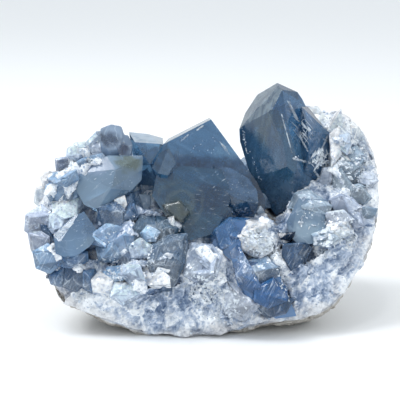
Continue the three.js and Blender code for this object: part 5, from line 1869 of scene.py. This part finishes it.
def wall_material():
    """Granular celestite from clear blue to sugary white, greyer at the rim, in a dull grey rind, with
    painted shade in its creases and paler where it stands out, partly wear and partly painted highlight.
    """
    material, tree, shader, _ = new_material("granular_celestite")
    coords = own_coords(tree)
    grain = noise_pattern(tree, coords, WALL_GRAIN, detail=4)
    haze = noise_pattern(tree, coords, WALL_HAZE, detail=5, distortion=0.8)
    cracks = times(tree, fracture_lines(tree, coords, haze, WALL_CRACKS, 0.06), grain)
    rind = attribute(tree, "rind")
    level = mapped(tree, attribute(tree, "white"), 0, 1, 0.1, 0.86)
    for value, low, high in (
        (attribute(tree, "tone"), -0.12, 0.12), (cell_tone(tree, coords, 900), -0.05, 0.05),
        (cell_tone(tree, coords, 260), -0.06, 0.06), (cell_tone(tree, coords, 130), -0.12, 0.12),
        (mapped(tree, haze, *NOISE_SWING, 0, 1), -0.12, 0.1),
        (mapped(tree, grain, *NOISE_SWING, 0, 1), -0.12, 0.12),
        # The last two follow the relief: lower places, between grains and in creases, are darker as painted
        # shade, and places that stand out are paler, partly edge wear and partly painted highlight.
        (cracks, 0, 0.4), (mapped(tree, attribute(tree, "worn"), -0.1, 0.14, 0, 1), -0.14, 0.18),
        (mapped(tree, attribute(tree, "proud"), -0.5, 0.5, 0, 1), -0.24, 0.2),
    ):
        level = plus(tree, level, mapped(tree, value, 0, 1, low, high))
    share = times(tree, attribute(tree, "rim"), mapped(tree, haze, 0.4, 0.6, 0.1, 0.8))
    body = mixed(tree, share, ramp(tree, level, WALL_COLOURS), ramp(tree, level, RIM_GREYS))
    gloss = mapped(tree, grain, *NOISE_SWING, *WALL_ROUGH)
    dull = combined(tree, "MAXIMUM", gloss, mapped(tree, rind, 0, 1, 0, RIND_ROUGH))
    glass(tree, shader, mixed(tree, rind, body, rind_colour(tree, coords)), 0, dull, CRYSTAL_IOR)
    tilts = plus(tree, *[facet_tilts(tree, coords, scale) for scale in WALL_TILTS])
    bump(tree, shader, times(tree, tilts, mapped(tree, rind, 0, 1, 1, 0.3)), 1, 700)
    return material


def floor_material():
    material, _, shader, _ = new_material("pale_floor")
    shader.inputs["Base Color"].default_value = (0.91, 0.925, 0.94, 1)
    shader.inputs["Roughness"].default_value = 0.7
    return material


# ---- Assembly ----


def carry(piece, materials=(), node=None):
    """Lets a finished piece ride on the part, in a node's place where it has one."""
    if materials:
        piece.data.materials.clear()
        for material in materials:
            piece.data.materials.append(material)
    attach(piece, "root")
    if node:
        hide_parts(node)


celestite_rock = wall_material()
edge_wear_and_highlight = worn_edge_material()
set_glass = small_crystal_material("set_crystal", **SET_GLASS)
sugar_glass = small_crystal_material("sugar_grain", **SUGAR_GLASS)

blocks = small_shapes("blocks", block_shape, count=6, seed=11)
chunks = small_shapes("chunks", chunk_shape, count=8, seed=13)
chips = small_shapes("chips", chip_shape, count=6, seed=12)
wall = broken_wall(chunks)
lining = crust_lining()
druse = scattered("druse", wall, blocks, set_glass, "druse", **DRUSE, seed=1)
sugar = scattered("sugar_grains", wall, chips, sugar_glass, "sugar", **SUGAR, seed=2)
lining_druse = scattered("crust_crystals", lining, blocks, set_glass, "druse", **DRUSE, seed=3)
for shapes in (blocks, chunks, chips):
    for shape in list(shapes.objects):
        bpy.data.objects.remove(shape)
    bpy.data.collections.remove(shapes)

carry(wall, [celestite_rock], node="geode_wall")
carry(druse, node="geode_wall")
carry(sugar, node="geode_wall")
carry(lining, [celestite_rock], node="crystal_crust")
carry(lining_druse, node="crystal_crust")
large_ones = []
for node in CRYSTALS:
    crystal = large_crystal(node)
    carry(crystal, [large_crystal_material(node), edge_wear_and_highlight], node=node)
    large_ones.append(crystal)
grown = grown_blocks(skins_of([wall, *large_ones]))
block_glass = grown_block_material()
carry(grown, [block_glass, edge_wear_and_highlight], node="geode_wall")
skins = skins_of([wall, grown, *large_ones])
carry(inner_veils(), [veil_material()])
carry(white_films(skins), [film_material()])
carry(broken_crumbs(skins), [block_glass])

# ---- Floor, light and camera, in metres ----

ROOM_COLOUR = (0.93, 0.97, 1, 1)
ROOM_LIGHT = 0.92
LIGHTS_AIM = (0, 0, 0.04)
CAMERA_PLACE = (-0.0018, -0.39126, 0.12467)
CAMERA_TILT = 78  # degrees, where 90 is level
CAMERA_LENS = 101.7  # mm, on a sensor of 36
FLOOR_SIZE = 12


def area_light(name, place, size, power, colour):
    light = bpy.data.lights.new(name, "AREA")
    light.shape = "SQUARE"
    light.size = size
    light.energy = power
    light.color = colour
    lamp = new_object(name, light)
    lamp.location = place
    lamp.rotation_euler = (Vector(LIGHTS_AIM) - Vector(place)).to_track_quat("-Z", "Y").to_euler()


bpy.ops.mesh.primitive_plane_add(size=FLOOR_SIZE, location=(0, 0, 0))
floor = bpy.context.object
floor.name = "floor"
floor.data.materials.append(floor_material())

world = bpy.data.worlds.new("soft_room")
bpy.context.scene.world = world
world.use_nodes = True
world.node_tree.nodes["Background"].inputs["Color"].default_value = ROOM_COLOUR
world.node_tree.nodes["Background"].inputs["Strength"].default_value = ROOM_LIGHT

area_light("window", (-0.57, -0.1, 1.03), size=0.5, power=7, colour=(0.98, 0.99, 1))
area_light("lamp", (-0.07, -0.25, 1.0), size=0.12, power=0.8, colour=(1, 1, 1))
area_light("side_lamp", (0.72, -0.26, 0.68), size=0.12, power=0.6, colour=(1, 1, 1))

camera_data = bpy.data.cameras.new("camera")
camera_data.lens = CAMERA_LENS
camera_data.sensor_width = 36
camera = new_object("camera", camera_data)
camera.location = CAMERA_PLACE
camera.rotation_euler = (math.radians(CAMERA_TILT), 0, 0)
bpy.context.scene.camera = camera
bpy.context.scene.view_settings.view_transform = "Standard"
